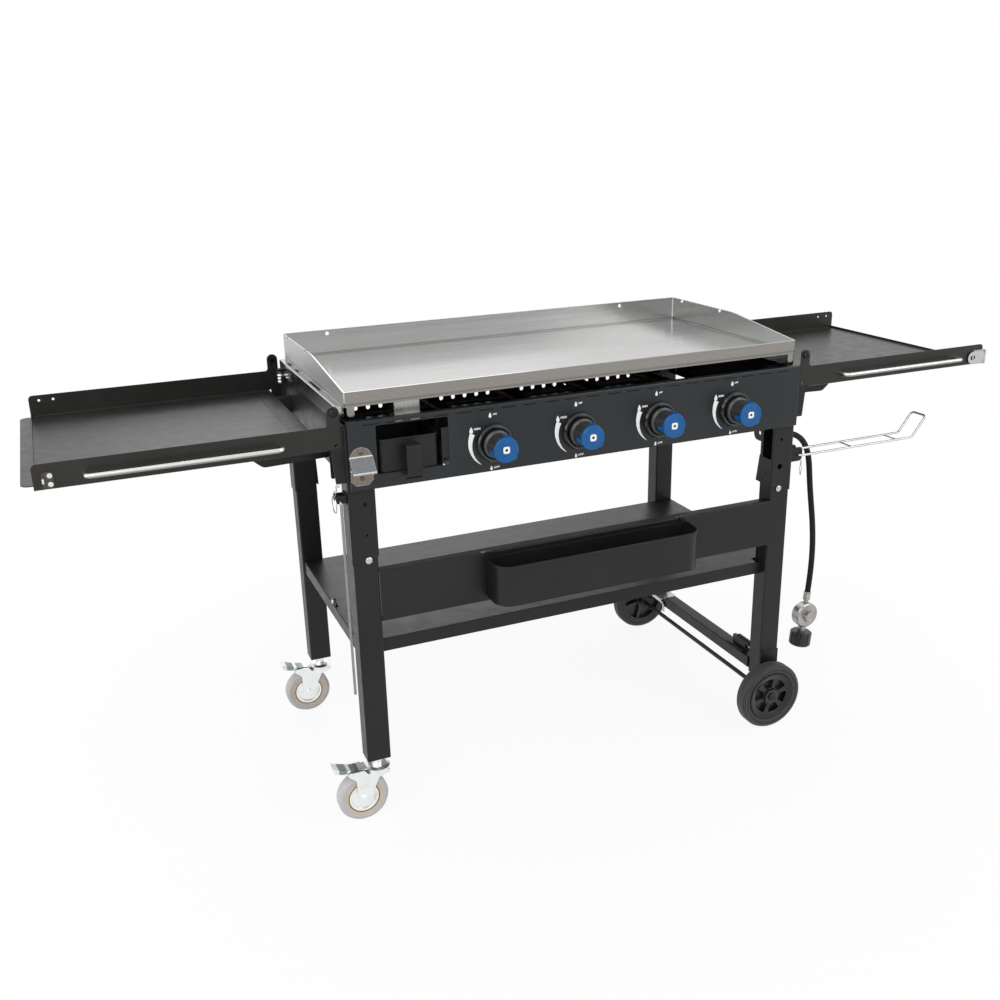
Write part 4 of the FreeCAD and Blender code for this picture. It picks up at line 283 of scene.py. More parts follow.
class Surface:
    """A node material on a Principled shader, built from noise, masks and bumps."""

    def __init__(self, name, metallic=0.0, specular=0.5, coat=0.0, coat_roughness=0.1):
        self.material = bpy.data.materials.new(name)
        self.material.use_nodes = True
        self.tree = self.material.node_tree
        self.shader = find_node(self.tree, "BSDF_PRINCIPLED")
        self.shader.inputs["Metallic"].default_value = metallic
        self.shader.inputs["Specular IOR Level"].default_value = specular
        self.shader.inputs["Coat Weight"].default_value = coat
        self.shader.inputs["Coat Roughness"].default_value = coat_roughness
        self.place = self.add("ShaderNodeTexCoord").outputs["Object"]
        self.normal = None

    def add(self, kind):
        """A new node of that kind."""
        return self.tree.nodes.new(kind)

    def link(self, source, target):
        """Joins an output to an input."""
        self.tree.links.new(source, target)

    def scaled(self, x, y, z):
        """Object coordinates stretched along the three axes."""
        mapping = self.add("ShaderNodeMapping")
        mapping.inputs["Scale"].default_value = (x, y, z)
        self.link(self.place, mapping.inputs["Vector"])
        return mapping.outputs["Vector"]

    def noise(self, scale, detail=3.0, roughness=0.5, where=None):
        """Cloudy noise from 0 to 1; scale counts the clouds in a metre."""
        node = self.add("ShaderNodeTexNoise")
        node.inputs["Scale"].default_value = scale
        node.inputs["Detail"].default_value = detail
        node.inputs["Roughness"].default_value = roughness
        self.link(where or self.place, node.inputs["Vector"])
        return node.outputs["Fac"]

    def grain(self, scale):
        """One flat value per cell, for zinc spangle; scale counts the cells in a metre."""
        node = self.add("ShaderNodeTexVoronoi")
        node.inputs["Scale"].default_value = scale
        self.link(self.place, node.inputs["Vector"])
        separate = self.add("ShaderNodeSeparateColor")
        self.link(node.outputs["Color"], separate.inputs["Color"])
        return separate.outputs["Red"]

    def spread(self, value, low, high, to_low=0.0, to_high=1.0):
        """Value between low and high mapped to a new range, held at its ends."""
        node = self.add("ShaderNodeMapRange")
        node.inputs["From Min"].default_value = low
        node.inputs["From Max"].default_value = high
        node.inputs["To Min"].default_value = to_low
        node.inputs["To Max"].default_value = to_high
        self.link(value, node.inputs["Value"])
        return node.outputs["Result"]

    def below(self, value, start, end):
        """1 up to start and 0 from end on."""
        return self.spread(value, start, end, 1.0, 0.0)

    def band(self, value, start, end, edge, end_edge=None):
        """Rises from 0 to 1 past start and falls back to 0 past end, over these widths."""
        rise = self.spread(value, start, start + edge)
        fall = self.below(value, end, end + (end_edge or edge))
        return self.times(rise, fall)

    def maths(self, operation, first, second):
        """Two values joined by one operation; either may be a plain number."""
        node = self.add("ShaderNodeMath")
        node.operation = operation
        for value, target in zip((first, second), node.inputs):
            if isinstance(value, (int, float)):
                target.default_value = value
            else:
                self.link(value, target)
        return node.outputs[0]

    def plus(self, first, second):
        """Sum of two values."""
        return self.maths("ADD", first, second)

    def times(self, first, second):
        """Product of two values."""
        return self.maths("MULTIPLY", first, second)

    def mixed(self, factor, first, second):
        """Colour between first and second, each a colour or another node's output."""
        node = self.add("ShaderNodeMix")
        node.data_type = "RGBA"
        self.link(factor, node.inputs[0])
        for value, target in zip((first, second), node.inputs[6:8]):
            if isinstance(value, tuple):
                target.default_value = (*value, 1.0)
            else:
                self.link(value, target)
        return node.outputs[2]

    def cloudy(self, value, dark, light):
        """Colour that follows a noise from dark to light."""
        return self.mixed(self.spread(value, *CLOUD_RANGE), dark, light)

    def grained(self, value, dark, light):
        """Colour that follows a fine grain from dark to light."""
        return self.mixed(self.spread(value, *GRAIN_RANGE), dark, light)

    def covered(self, colour, mask, share, tone):
        """Colour with another tone laid over it where the mask is 1, at that share."""
        return self.mixed(self.times(mask, share), colour, tone)

    def gloss(self, value, limits):
        """Roughness that follows a noise between two limits."""
        return self.spread(value, *GRAIN_RANGE, *limits)

    def axis(self, letter):
        """One of the object coordinates, in metres."""
        node = self.add("ShaderNodeSeparateXYZ")
        self.link(self.place, node.inputs[0])
        return node.outputs["XYZ".index(letter)]

    def radius_about(self, centre):
        """Distance from the line along Y through that centre."""
        across = self.plus(self.axis("X"), -centre.x)
        above = self.plus(self.axis("Z"), -centre.z)
        squares = self.plus(self.times(across, across), self.times(above, above))
        return self.maths("POWER", squares, 0.5)

    def rounded(self, radius):
        """Softens sharp edges by that radius in metres."""
        node = self.add("ShaderNodeBevel")
        node.samples = BEVEL_SAMPLES
        node.inputs["Radius"].default_value = radius
        if self.normal is not None:
            self.link(self.normal, node.inputs["Normal"])
        self.normal = node.outputs["Normal"]

    def edge_mask(self, radius):
        """1 near an edge and 0 away from it."""
        bevel = self.add("ShaderNodeBevel")
        bevel.samples = BEVEL_SAMPLES
        bevel.inputs["Radius"].default_value = radius
        geometry = self.add("ShaderNodeNewGeometry")
        product = self.add("ShaderNodeVectorMath")
        product.operation = "DOT_PRODUCT"
        self.link(bevel.outputs["Normal"], product.inputs[0])
        self.link(geometry.outputs["Normal"], product.inputs[1])
        return self.spread(product.outputs["Value"], EDGE_FLAT, EDGE_SHARP)

    def bump(self, height, strength, distance):
        """Raises the surface by height times distance in metres."""
        node = self.add("ShaderNodeBump")
        node.inputs["Strength"].default_value = strength
        node.inputs["Distance"].default_value = distance
        self.link(height, node.inputs["Height"])
        if self.normal is not None:
            self.link(self.normal, node.inputs["Normal"])
        self.normal = node.outputs["Normal"]

    def done(self, colour, roughness):
        """Links colour, roughness and the last normal, and gives the material."""
        self.link(colour, self.shader.inputs["Base Color"])
        self.link(roughness, self.shader.inputs["Roughness"])
        if self.normal is not None:
            self.link(self.normal, self.shader.inputs["Normal"])
        return self.material


def powder_coat(name, dark, light, gloss=(0.34, 0.46), dust=0.0, specular=0.31, tint=(1.0, 1.0, 1.0)):
    """Satin black powder coat: fine orange peel, faint clouds, paler worn edges."""
    skin = Surface(name, specular=specular)
    skin.shader.inputs["Specular Tint"].default_value = (*tint, 1.0)
    dust_tone = (0.16, 0.155, 0.145)
    worn_tone = (0.13, 0.13, 0.13)
    clouds = skin.noise(5.0, 4.0, 0.6)
    worn = skin.times(skin.edge_mask(0.0009), skin.spread(skin.noise(60.0, 4.0), 0.45, 0.62))
    colour = skin.cloudy(clouds, dark, light)
    if dust:
        film = skin.spread(skin.noise(22.0, 5.0, 0.65), 0.5, 0.8)
        colour = skin.covered(colour, film, dust, dust_tone)
    colour = skin.covered(colour, worn, 0.45, worn_tone)
    roughness = skin.gloss(skin.noise(38.0, 4.0, 0.6), gloss)
    skin.rounded(0.0010)
    skin.bump(skin.noise(1300.0, 2.0), 0.22, 0.00006)
    skin.bump(skin.noise(14.0, 2.0), 0.10, 0.0004)
    return skin.done(colour, roughness)


def rolled_steel():
    """Cold rolled griddle plate: streaks from side to side, oil film, browned front, and painted shade
    along the inner crease.
    """
    skin = Surface("rolled_steel", metallic=1.0)
    low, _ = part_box("griddle_plate")
    film_tone = (0.43, 0.425, 0.40)
    spot_tone = (0.30, 0.28, 0.25)
    painted_crease_shade = (0.12, 0.12, 0.115)
    along = skin.scaled(0.9, 60.0, 60.0)
    streaks = skin.noise(3.0, 4.0, 0.6, along)
    fine = skin.noise(20.0, 3.0, 0.6, along)
    clouds = skin.noise(3.4, 4.0, 0.6)
    colour = skin.grained(streaks, (0.480, 0.487, 0.480), (0.560, 0.567, 0.560))
    colour = skin.covered(colour, skin.spread(clouds, 0.42, 0.75), 0.45, film_tone)
    spots = skin.spread(skin.noise(160.0, 2.0), 0.70, 0.78)
    colour = skin.covered(colour, spots, 0.3, spot_tone)
    front = skin.below(skin.axis("Y"), low.y + 0.0004, low.y + 0.0010)
    hatch = skin.noise(9.0, 2.0, 0.5, skin.scaled(60.0, 1.0, 30.0))
    browned = skin.grained(hatch, (0.210, 0.189, 0.168), (0.275, 0.253, 0.232))
    colour = skin.covered(colour, front, 0.85, browned)
    roughness = skin.plus(
        skin.spread(fine, 0.25, 0.75, 0.13, 0.20),
        skin.spread(clouds, 0.4, 0.8, 0.0, 0.06),
    )
    roughness = skin.plus(roughness, skin.times(front, 0.16))
    side = skin.below(skin.axis("X"), low.x + 0.0004, low.x + 0.0010)
    roughness = skin.plus(roughness, skin.times(side, 0.30))
    floor = PLATE_FLOOR_TOP
    # Painted shade: a dark band along the foot of the walls, where they meet the floor
    crease = skin.band(skin.axis("Z"), floor + 0.0003, floor + 0.0005, 0.0002, 0.0045)
    colour = skin.covered(colour, crease, 0.75, painted_crease_shade)
    skin.rounded(0.0008)
    skin.bump(fine, 0.16, 0.00010)
    skin.bump(skin.noise(6.0, 2.0), 0.10, 0.0015)
    return skin.done(colour, roughness)


def brushed_steel(name, dark, light, gloss=(0.24, 0.38), along=(60.0, 60.0, 2.0)):
    """Stainless steel with a brushed grain and faint warm stains."""
    skin = Surface(name, metallic=1.0)
    warm_tone = (0.36, 0.34, 0.31)
    grain = skin.noise(12.0, 3.0, 0.6, skin.scaled(*along))
    colour = skin.grained(grain, dark, light)
    stains = skin.spread(skin.noise(30.0, 4.0), 0.55, 0.8)
    colour = skin.covered(colour, stains, 0.4, warm_tone)
    skin.rounded(0.0005)
    skin.bump(grain, 0.2, 0.00010)
    return skin.done(colour, skin.gloss(skin.noise(25.0, 4.0), gloss))


def opener_screws(skin):
    """1 on the screw heads that stand in front of the opener's plate, and 0 elsewhere."""
    low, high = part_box("bottle_opener")
    across = skin.band(skin.axis("X"), low.x, high.x - 0.0005, 0.0005)
    ahead = skin.below(skin.axis("Y"), high.y - 0.0019, high.y - 0.0015)
    above_foot = skin.spread(skin.axis("Z"), low.z, low.z + 0.0005)
    return skin.times(skin.times(across, ahead), above_foot)


def zinc_plate(
    name, dark=(0.46, 0.465, 0.47), light=(0.62, 0.62, 0.615), gloss=(0.20, 0.34), black_above=None
):
    """Bright zinc plating with a faint spangle and warm patches.

    Above black_above the pieces are blackened, and so are the screws of the opener.
    """
    skin = Surface(name, metallic=1.0)
    spangle = skin.grain(520.0)
    patches = skin.noise(36.0, 4.0, 0.6)
    warm_tone = (0.50, 0.475, 0.42)
    black_tone = (0.030, 0.030, 0.030)
    screw_tone = (0.075, 0.065, 0.055)
    colour = skin.mixed(skin.spread(spangle, 0.0, 1.0, 0.38, 0.62), dark, light)
    colour = skin.covered(colour, skin.spread(patches, 0.5, 0.78), 0.35, warm_tone)
    if black_above is not None:
        blackened = skin.spread(skin.axis("Z"), black_above, black_above + 0.0005)
        colour = skin.mixed(blackened, colour, black_tone)
        colour = skin.covered(colour, opener_screws(skin), 0.9, screw_tone)
    roughness = skin.plus(
        skin.gloss(patches, gloss),
        skin.spread(spangle, 0.0, 1.0, -0.02, 0.02),
    )
    skin.rounded(0.0004)
    skin.bump(skin.noise(700.0, 3.0), 0.14, 0.00005)
    return skin.done(colour, roughness)


def pedal_zinc():
    """Zinc brake pedal with painted shade in two sunk windows between its ribs."""
    skin = Surface("pedal_zinc", metallic=1.0)
    window_shade_tone = (0.16, 0.20, 0.21)
    low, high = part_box("caster_pedal_front")
    length = high.x - low.x
    along = skin.axis("X")
    patches = skin.noise(40.0, 4.0, 0.6)
    colour = skin.cloudy(patches, (0.74, 0.76, 0.76), (0.90, 0.915, 0.91))
    # Painted shade: the sunk windows are coloured dark
    windows = [
        skin.band(along, low.x + length * start, low.x + length * end, 0.0006)
        for start, end in PEDAL_WINDOWS
    ]
    top = skin.spread(skin.axis("Z"), high.z - 0.016, high.z - 0.014)
    painted_window_shade = skin.times(skin.plus(*windows), top)
    colour = skin.covered(colour, painted_window_shade, 0.85, window_shade_tone)
    skin.rounded(0.0004)
    skin.bump(skin.noise(700.0, 3.0), 0.14, 0.00005)
    return skin.done(colour, skin.gloss(patches, (0.26, 0.40)))


def catch_steel():
    """Catch plate in dull brown-grey steel with brighter screw heads and tab."""
    skin = Surface("catch_steel", metallic=1.0)
    low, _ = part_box("left_shelf")
    patches = skin.noise(240.0, 4.0, 0.6)
    plate = skin.cloudy(patches, (0.075, 0.060, 0.050), (0.130, 0.108, 0.092))
    bright = skin.cloudy(patches, (0.72, 0.71, 0.69), (0.90, 0.90, 0.88))
    proud = skin.below(skin.axis("Y"), low.y - 0.0018, low.y - 0.0016)
    colour = skin.mixed(proud, plate, bright)
    skin.rounded(0.0003)
    skin.bump(patches, 0.2, 0.00008)
    return skin.done(colour, skin.gloss(patches, (0.24, 0.40)))


def handle_steel(name, node):
    """Satin steel rod, paler along its top, with painted shade and dark reflection in brown along its
    underside.
    """
    skin = Surface(name, metallic=1.0)
    underside_shade_tone = (0.175, 0.145, 0.120)
    stain_tone = (0.42, 0.38, 0.34)
    low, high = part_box(node)
    middle = (low.z + high.z) / 2
    grain = skin.noise(14.0, 3.0, 0.6, skin.scaled(1.5, 70.0, 70.0))
    clouds = skin.noise(38.0, 4.0, 0.6)
    colour = skin.grained(grain, (0.60, 0.59, 0.57), (0.76, 0.755, 0.74))
    # Painted shade and dark reflection: the underside is coloured brown-dark
    under = skin.spread(skin.axis("Z"), middle - 0.0016, middle + 0.0002, 0.80, 0.0)
    colour = skin.mixed(under, colour, underside_shade_tone)
    colour = skin.covered(colour, skin.spread(clouds, 0.5, 0.8), 0.4, stain_tone)
    skin.bump(grain, 0.2, 0.00008)
    return skin.done(colour, skin.spread(clouds, 0.3, 0.75, 0.22, 0.36))


def chrome():
    """Polished chrome rod with faint clouds."""
    skin = Surface("chrome", metallic=1.0)
    clouds = skin.noise(45.0, 4.0, 0.6)
    colour = skin.cloudy(clouds, (0.50, 0.49, 0.47), (0.66, 0.66, 0.65))
    skin.bump(skin.noise(260.0, 2.0), 0.08, 0.00008)
    return skin.done(colour, skin.spread(clouds, 0.3, 0.75, 0.13, 0.28))


def brass():
    """Machined brass with darker handling stains."""
    skin = Surface("brass", metallic=1.0)
    stains = skin.noise(90.0, 4.0, 0.6)
    colour = skin.mixed(skin.spread(stains, 0.4, 0.75), (0.72, 0.52, 0.22), (0.46, 0.31, 0.14))
    skin.bump(skin.noise(900.0, 2.0), 0.12, 0.00005)
    return skin.done(colour, skin.gloss(stains, (0.26, 0.44)))


def opener_steel():
    """Bent bottle opener: brown base, blue-grey hood, and painted highlights on its creases, lip,
    edges and cut edges.
    """
    skin = Surface("opener_steel", metallic=1.0)
    _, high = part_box("bottle_opener")
    height = skin.axis("Z")
    top = OPENER_HOOD_TOP
    bottom = OPENER_HOOD_BOTTOM
    grain = skin.noise(12.0, 3.0, 0.6, skin.scaled(40.0, 40.0, 3.0))
    brown = skin.grained(grain, (0.155, 0.130, 0.105), (0.275, 0.235, 0.195))
    hood = skin.grained(grain, (0.155, 0.170, 0.178), (0.235, 0.250, 0.258))
    # Pale tone for the painted highlights on the crease, lip and edges
    bright = skin.grained(grain, (0.66, 0.66, 0.64), (0.86, 0.86, 0.84))
    within = skin.band(height, bottom, top, 0.0004)
    colour = skin.mixed(within, brown, hood)
    # Painted highlights: bright lines along the hood's top crease, its lip, all edges and the cut
    # edges
    crease = skin.band(height, top - 0.0016, top + 0.0006, 0.0004)
    lip = skin.band(height, bottom - 0.0004, bottom + 0.0020, 0.0004, 0.0010)
    painted_highlight = skin.maths("MAXIMUM", skin.plus(crease, lip), skin.edge_mask(0.0016))
    colour = skin.covered(colour, painted_highlight, 0.9, bright)
    cut_edge_highlight = skin.spread(skin.axis("Y"), high.y - 0.0017, high.y - 0.0014)
    colour = skin.mixed(cut_edge_highlight, colour, bright)
    skin.rounded(0.0004)
    skin.bump(grain, 0.2, 0.00010)
    return skin.done(colour, skin.gloss(skin.noise(60.0, 4.0), (0.24, 0.36)))


def heated_steel():
    """Burner tube steel: dull grey with straw and blue heat tint."""
    skin = Surface("heated_steel", metallic=1.0)
    straw_tone = (0.10, 0.075, 0.050)
    blue_tone = (0.050, 0.056, 0.078)
    soot_tone = (0.02, 0.019, 0.018)
    heat = skin.noise(11.0, 4.0, 0.6)
    soot = skin.noise(48.0, 5.0, 0.65)
    colour = skin.mixed(skin.spread(heat, 0.35, 0.6), (0.085, 0.082, 0.080), straw_tone)
    colour = skin.mixed(skin.spread(heat, 0.58, 0.75), colour, blue_tone)
    colour = skin.covered(colour, skin.spread(soot, 0.5, 0.8), 0.7, soot_tone)
    skin.bump(soot, 0.25, 0.0002)
    return skin.done(colour, skin.gloss(soot, (0.38, 0.62)))


def moulded_plastic(name, dark, light, gloss, coat=0.0, specular=0.5, soft=0.0005):
    """Injection-moulded plastic: fine grain, faint flow clouds, light scuffs on soft edges."""
    skin = Surface(name, specular=specular, coat=coat, coat_roughness=0.12)
    flow = skin.noise(28.0, 3.0, 0.55)
    colour = skin.cloudy(flow, dark, light)
    scuff = skin.times(skin.edge_mask(0.0007), skin.spread(skin.noise(220.0, 3.0), 0.42, 0.62))
    paler = tuple(min(1.0, channel * 1.8 + 0.03) for channel in light)
    colour = skin.covered(colour, scuff, 0.5, paler)
    skin.rounded(soft)
    skin.bump(skin.noise(900.0, 2.0), 0.2, 0.00005)
    return skin.done(colour, skin.gloss(skin.noise(70.0, 4.0), gloss))


def hose_rubber():
    """Matt black hose rubber with fine pores and a thin dusty film."""
    skin = Surface("hose_black", specular=0.20)
    dust_tone = (0.20, 0.19, 0.175)
    film = skin.noise(34.0, 5.0, 0.65)
    colour = skin.cloudy(skin.noise(9.0, 3.0), (0.008, 0.008, 0.008), (0.014, 0.014, 0.014))
    colour = skin.covered(colour, skin.spread(film, 0.5, 0.85), 0.08, dust_tone)
    skin.rounded(0.0006)
    skin.bump(skin.noise(1100.0, 2.0), 0.25, 0.00008)
    return skin.done(colour, skin.gloss(film, (0.50, 0.68)))


def tyre_rubber():
    """Large wheel's tyre: glossy walls with moulded rings painted lighter as highlights, a greyer and
    duller tread.
    """
    skin = Surface("tyre_rubber", specular=0.36)
    low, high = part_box("wheel_tyre_front")
    reach = (high.x - low.x) / 2
    radius = skin.radius_about((low + high) / 2)
    dust_tone = (0.10, 0.10, 0.095)
    ring_highlight_tone = (0.115, 0.115, 0.108)
    tread_tone = (0.060, 0.058, 0.052)
    film = skin.noise(34.0, 5.0, 0.65)
    colour = skin.cloudy(skin.noise(9.0, 3.0), (0.010, 0.011, 0.010), (0.018, 0.020, 0.018))
    colour = skin.covered(colour, skin.spread(film, 0.5, 0.85), 0.20, dust_tone)
    rings = None
    for share, width in TYRE_RINGS:
        away = skin.plus(radius, -reach * share)
        line = skin.below(skin.times(away, away), 0.0, width * width)
        rings = line if rings is None else skin.plus(rings, line)
    # Painted highlight: the rings are lightened
    colour = skin.covered(colour, rings, 0.55, ring_highlight_tone)
    tread = skin.spread(radius, reach - 0.0016, reach - 0.0006)
    colour = skin.covered(colour, tread, 0.8, tread_tone)
    skin.rounded(0.0035)
    skin.bump(rings, 0.55, 0.0012)
    skin.bump(skin.noise(1100.0, 2.0), 0.18, 0.00006)
    roughness = skin.plus(skin.gloss(film, (0.26, 0.38)), skin.times(tread, 0.25))
    return skin.done(colour, roughness)


def caster_rubber():
    """Grey non-marking tread bonded to a tan core ring round the axle's line, with painted shade in
    the recess inside the ring.
    """
    skin = Surface("caster_rubber", specular=0.4)
    low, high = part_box("caster_tyre_front")
    radius = skin.radius_about((low + high) / 2)
    recess_shade_tone = (0.030, 0.026, 0.022)
    scuff_tone = (0.34, 0.31, 0.28)
    blur = 0.0004
    grey = skin.mixed(skin.noise(30.0, 4.0, 0.6), (0.46, 0.445, 0.445), (0.55, 0.535, 0.54))
    tan = skin.mixed(skin.noise(60.0, 3.0), (0.60, 0.42, 0.25), (0.70, 0.51, 0.32))
    outside_ring = skin.spread(radius, CASTER_RING_RADIUS - blur, CASTER_RING_RADIUS + blur)
    colour = skin.mixed(outside_ring, tan, grey)
    # Painted shade: a dark ring in the recess between the tan ring and the hub
    outside_shade = skin.spread(radius, CASTER_SHADE_RADIUS - blur, CASTER_SHADE_RADIUS + blur)
    colour = skin.mixed(outside_shade, recess_shade_tone, colour)
    scuffs = skin.spread(skin.noise(130.0, 5.0, 0.65), 0.58, 0.85)
    colour = skin.covered(colour, scuffs, 0.3, scuff_tone)
    skin.rounded(0.0012)
    skin.bump(skin.noise(900.0, 2.0), 0.2, 0.00008)
    return skin.done(colour, skin.gloss(skin.noise(50.0, 4.0), (0.42, 0.60)))


def cast_zinc():
    """Die-cast regulator housing: pale grey, grainy, brighter on its edges."""
    skin = Surface("cast_zinc", metallic=1.0)
    edge_tone = (0.72, 0.71, 0.69)
    patches = skin.noise(55.0, 4.0, 0.6)
    colour = skin.cloudy(patches, (0.33, 0.325, 0.31), (0.50, 0.49, 0.475))
    colour = skin.covered(colour, skin.edge_mask(0.0008), 0.6, edge_tone)
    skin.rounded(0.0006)
    skin.bump(skin.noise(1200.0, 3.0, 0.6), 0.35, 0.0001)
    return skin.done(colour, skin.gloss(patches, (0.32, 0.46)))


def ink(name, tone, shade):
    """Screen-printed ink with slightly uneven cover."""
    skin = Surface(name, specular=0.4)
    cover = skin.noise(500.0, 4.0, 0.6)
    colour = skin.mixed(skin.spread(cover, 0.35, 0.75), tone, shade)
    skin.bump(skin.noise(1600.0, 2.0), 0.15, 0.00003)
    return skin.done(colour, skin.gloss(cover, (0.42, 0.58)))


def paint(material, *names):
    """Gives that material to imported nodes, called by name, or to pieces made here."""
    for name in names:
        piece = nodes[name] if isinstance(name, str) else name
        slots = piece.data.materials
        slots.clear()
        slots.append(material)


def mesh_piece(name, bm, material, body, smooth=False):
    """A mesh object from bm that rides on a body."""
    data = bpy.data.meshes.new(name)
    bmesh.ops.recalc_face_normals(bm, faces=bm.faces)
    bm.to_mesh(data)
    bm.free()
    for face in data.polygons:
        face.use_smooth = smooth
    piece = new_object(name, data)
    data.materials.append(material)
    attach(piece, body)
    return piece


def join_rows(bm, first, second):
    """Joins two closed rows of vertices with a belt of faces."""
    for k in range(len(first)):
        after = (k + 1) % len(first)
        bm.faces.new((first[k], first[after], second[after], second[k]))


def printed_plate(bm, outline, front_y):
    """Adds a thin plate facing the front; outline holds (x, z) points in metres."""
    front = [bm.verts.new((x, front_y - MARK_THICKNESS, z)) for x, z in outline]
    back = [bm.verts.new((x, front_y, z)) for x, z in outline]
    bm.faces.new(front)
    bm.faces.new(list(reversed(back)))
    join_rows(bm, back, front)


def flame_outline(x, z, size):
    """Small generic flame: a pointed drop."""
    points = []
    for turn in turns(FLAME_STEPS):
        width = FLAME_BREADTH * size * math.sin(turn) * math.sin(turn / 2) ** 1.2
        points.append((x + width, z + 0.5 * size * math.cos(turn)))
    return points


def scale_outline(x, z):
    """Tapered ring segment round a knob that thins towards its end."""
    outer = []
    inner = []
    for k in range(SCALE_STEPS + 1):
        share = k / SCALE_STEPS
        angle = SCALE_START + (SCALE_END - SCALE_START) * share
        half_width = (SCALE_THICK * (1 - share) ** 0.9 + SCALE_TIP) / 2
        for row, reach in ((outer, SCALE_RADIUS + half_width), (inner, SCALE_RADIUS - half_width)):
            row.append((x + reach * math.cos(angle), z + reach * math.sin(angle)))
    return outer + list(reversed(inner))


def add_ring(bm, centre, half_width, half_height, faces_side, wire):
    """Adds an oval ring of round wire; it faces the side or the front."""
    rows = []
    for turn in turns(RING_STEPS):
        out = Vector((math.cos(turn), math.sin(turn)))
        row = []
        for lean in turns(WIRE_STEPS):
            u = half_width * out.x + wire * math.cos(lean) * out.x
            v = half_height * out.y + wire * math.cos(lean) * out.y
            w = wire * math.sin(lean)
            offset = Vector((w, u, v)) if faces_side else Vector((u, w, v))
            row.append(bm.verts.new(Vector(centre) + offset))
        rows.append(row)
    for here, after in zip(rows, rows[1:] + rows[:1]):
        join_rows(bm, after, here)


def make_clips(metal):
    """Spring clips and their short chains at the two arm brackets."""
    bm = bmesh.new()
    add_ring(bm, *LEFT_CLIP, CLIP_WIRE)
    for link in LEFT_CHAIN:
        add_ring(bm, *link, CHAIN_WIRE)
    mesh_piece("spring_clip_left", bm, metal, "station", smooth=True)
    bm = bmesh.new()
    for link in RIGHT_CHAIN:
        add_ring(bm, *link, CHAIN_WIRE)
    mesh_piece("spring_clip_right", bm, metal, "station", smooth=True)


def make_flat_sheet(name, outline, z, sheet, material):
    """Level sheet with its underside at z; outline holds (x, y) points in metres."""
    bm = bmesh.new()
    lower = [bm.verts.new((x, y, z)) for x, y in outline]
    upper = [bm.verts.new((x, y, z + sheet)) for x, y in outline]
    bm.faces.new(list(reversed(lower)))
    bm.faces.new(upper)
    join_rows(bm, lower, upper)
    mesh_piece(name, bm, material, "station")


def make_clip_nut(metal):
    """Domed nut that shows on the outside of the left shelf clip."""
    bm = bmesh.new()
    rows = []
    for share, rise in CLIP_NUT_PROFILE:
        row = []
        for turn in turns(CLIP_NUT_STEPS):
            row.append(bm.verts.new(Vector(CLIP_NUT_PLACE) + Vector((
                -CLIP_NUT_HEIGHT * rise,
                CLIP_NUT_RADIUS * share * math.cos(turn),
                CLIP_NUT_RADIUS * share * math.sin(turn),
            ))))
        rows.append(row)
    for here, after in zip(rows, rows[1:]):
        join_rows(bm, here, after)
    bm.faces.new(rows[0])
    bm.faces.new(rows[-1])
    mesh_piece("shelf_clip_nut", bm, metal, "station", smooth=True)


def make_wheel_face(end, material):
    """Glossy dished face of a large wheel: a rolled rim, broad spokes and six windows."""
    face_y, inward = WHEEL_OUTER_FACES[end]
    bm = bmesh.new()
    rows = []
    for radius, depth in WHEEL_FACE_PROFILE:
        row = []
        for turn in turns(WHEEL_TURN_STEPS):
            row.append(bm.verts.new((
                WHEEL_LINE[0] + radius * math.sin(turn),
                face_y + inward * depth,
                WHEEL_LINE[1] + radius * math.cos(turn),
            )))
        rows.append(row)
    sector = WHEEL_TURN_STEPS // WHEEL_WINDOW_COUNT
    first = WHEEL_FIRST_SPOKE + (sector - WHEEL_WINDOW_STEPS) // 2
    for j in range(len(rows) - 1):
        inner = WHEEL_FACE_PROFILE[j][0]
        open_row = WHEEL_WINDOW[0] <= inner < WHEEL_WINDOW[1]
        for k in range(WHEEL_TURN_STEPS):
            if open_row and (k - first) % sector < WHEEL_WINDOW_STEPS:
                continue
            after = (k + 1) % WHEEL_TURN_STEPS
            bm.faces.new((rows[j][k], rows[j][after], rows[j + 1][after], rows[j + 1][k]))
    face = mesh_piece(
        "wheel_face_" + end, bm, material, "wheel_" + end, smooth=True
    )
    thicker = face.modifiers.new("sheet", "SOLIDIFY")
    thicker.thickness = WHEEL_FACE_SHEET
    thicker.offset = 0.0


def word_mesh(bm, text, x, z, height, front_y):
    """Adds a short generic word, standing upright and facing the front."""
    curve = bpy.data.curves.new("word", "FONT")
    curve.body = text
    curve.size = height
    curve.align_x = "LEFT"
    curve.align_y = "CENTER"
    curve.extrude = WORD_DEPTH
    curve.offset = height * WORD_BOLDNESS
    curve.resolution_u = 2
    holder = new_object("word", curve)
    bpy.context.view_layer.update()
    shown = holder.evaluated_get(bpy.context.evaluated_depsgraph_get())
    mesh = bpy.data.meshes.new_from_object(shown)
    upright = Matrix.Rotation(math.pi / 2, 4, "X")
    mesh.transform(Matrix.Translation((x, front_y, z)) @ upright)
    bm.from_mesh(mesh)
    bpy.data.objects.remove(holder)
    bpy.data.meshes.remove(mesh)
    bpy.data.curves.remove(curve)


def make_panel_marks(white):
    """White prints round each knob: off, high and low marks and the tapered scale."""
    panel_low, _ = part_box("front_panel")
    front = panel_low.y - MARK_STANDOFF
    for k in range(1, KNOB_COUNT + 1):
        low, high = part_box("knob_cap_%d" % k)
        x = (low.x + high.x) / 2
        z = (low.z + high.z) / 2
        bm = bmesh.new()
        for word, flame, size, place, height in KNOB_MARKS:
            printed_plate(bm, flame_outline(x + flame[0], z + flame[1], size), front)
            word_mesh(bm, word, x + place[0], z + place[1], height, front)
        printed_plate(bm, scale_outline(x, z), front)
        mesh_piece("panel_marks_%d" % k, bm, white, "station")


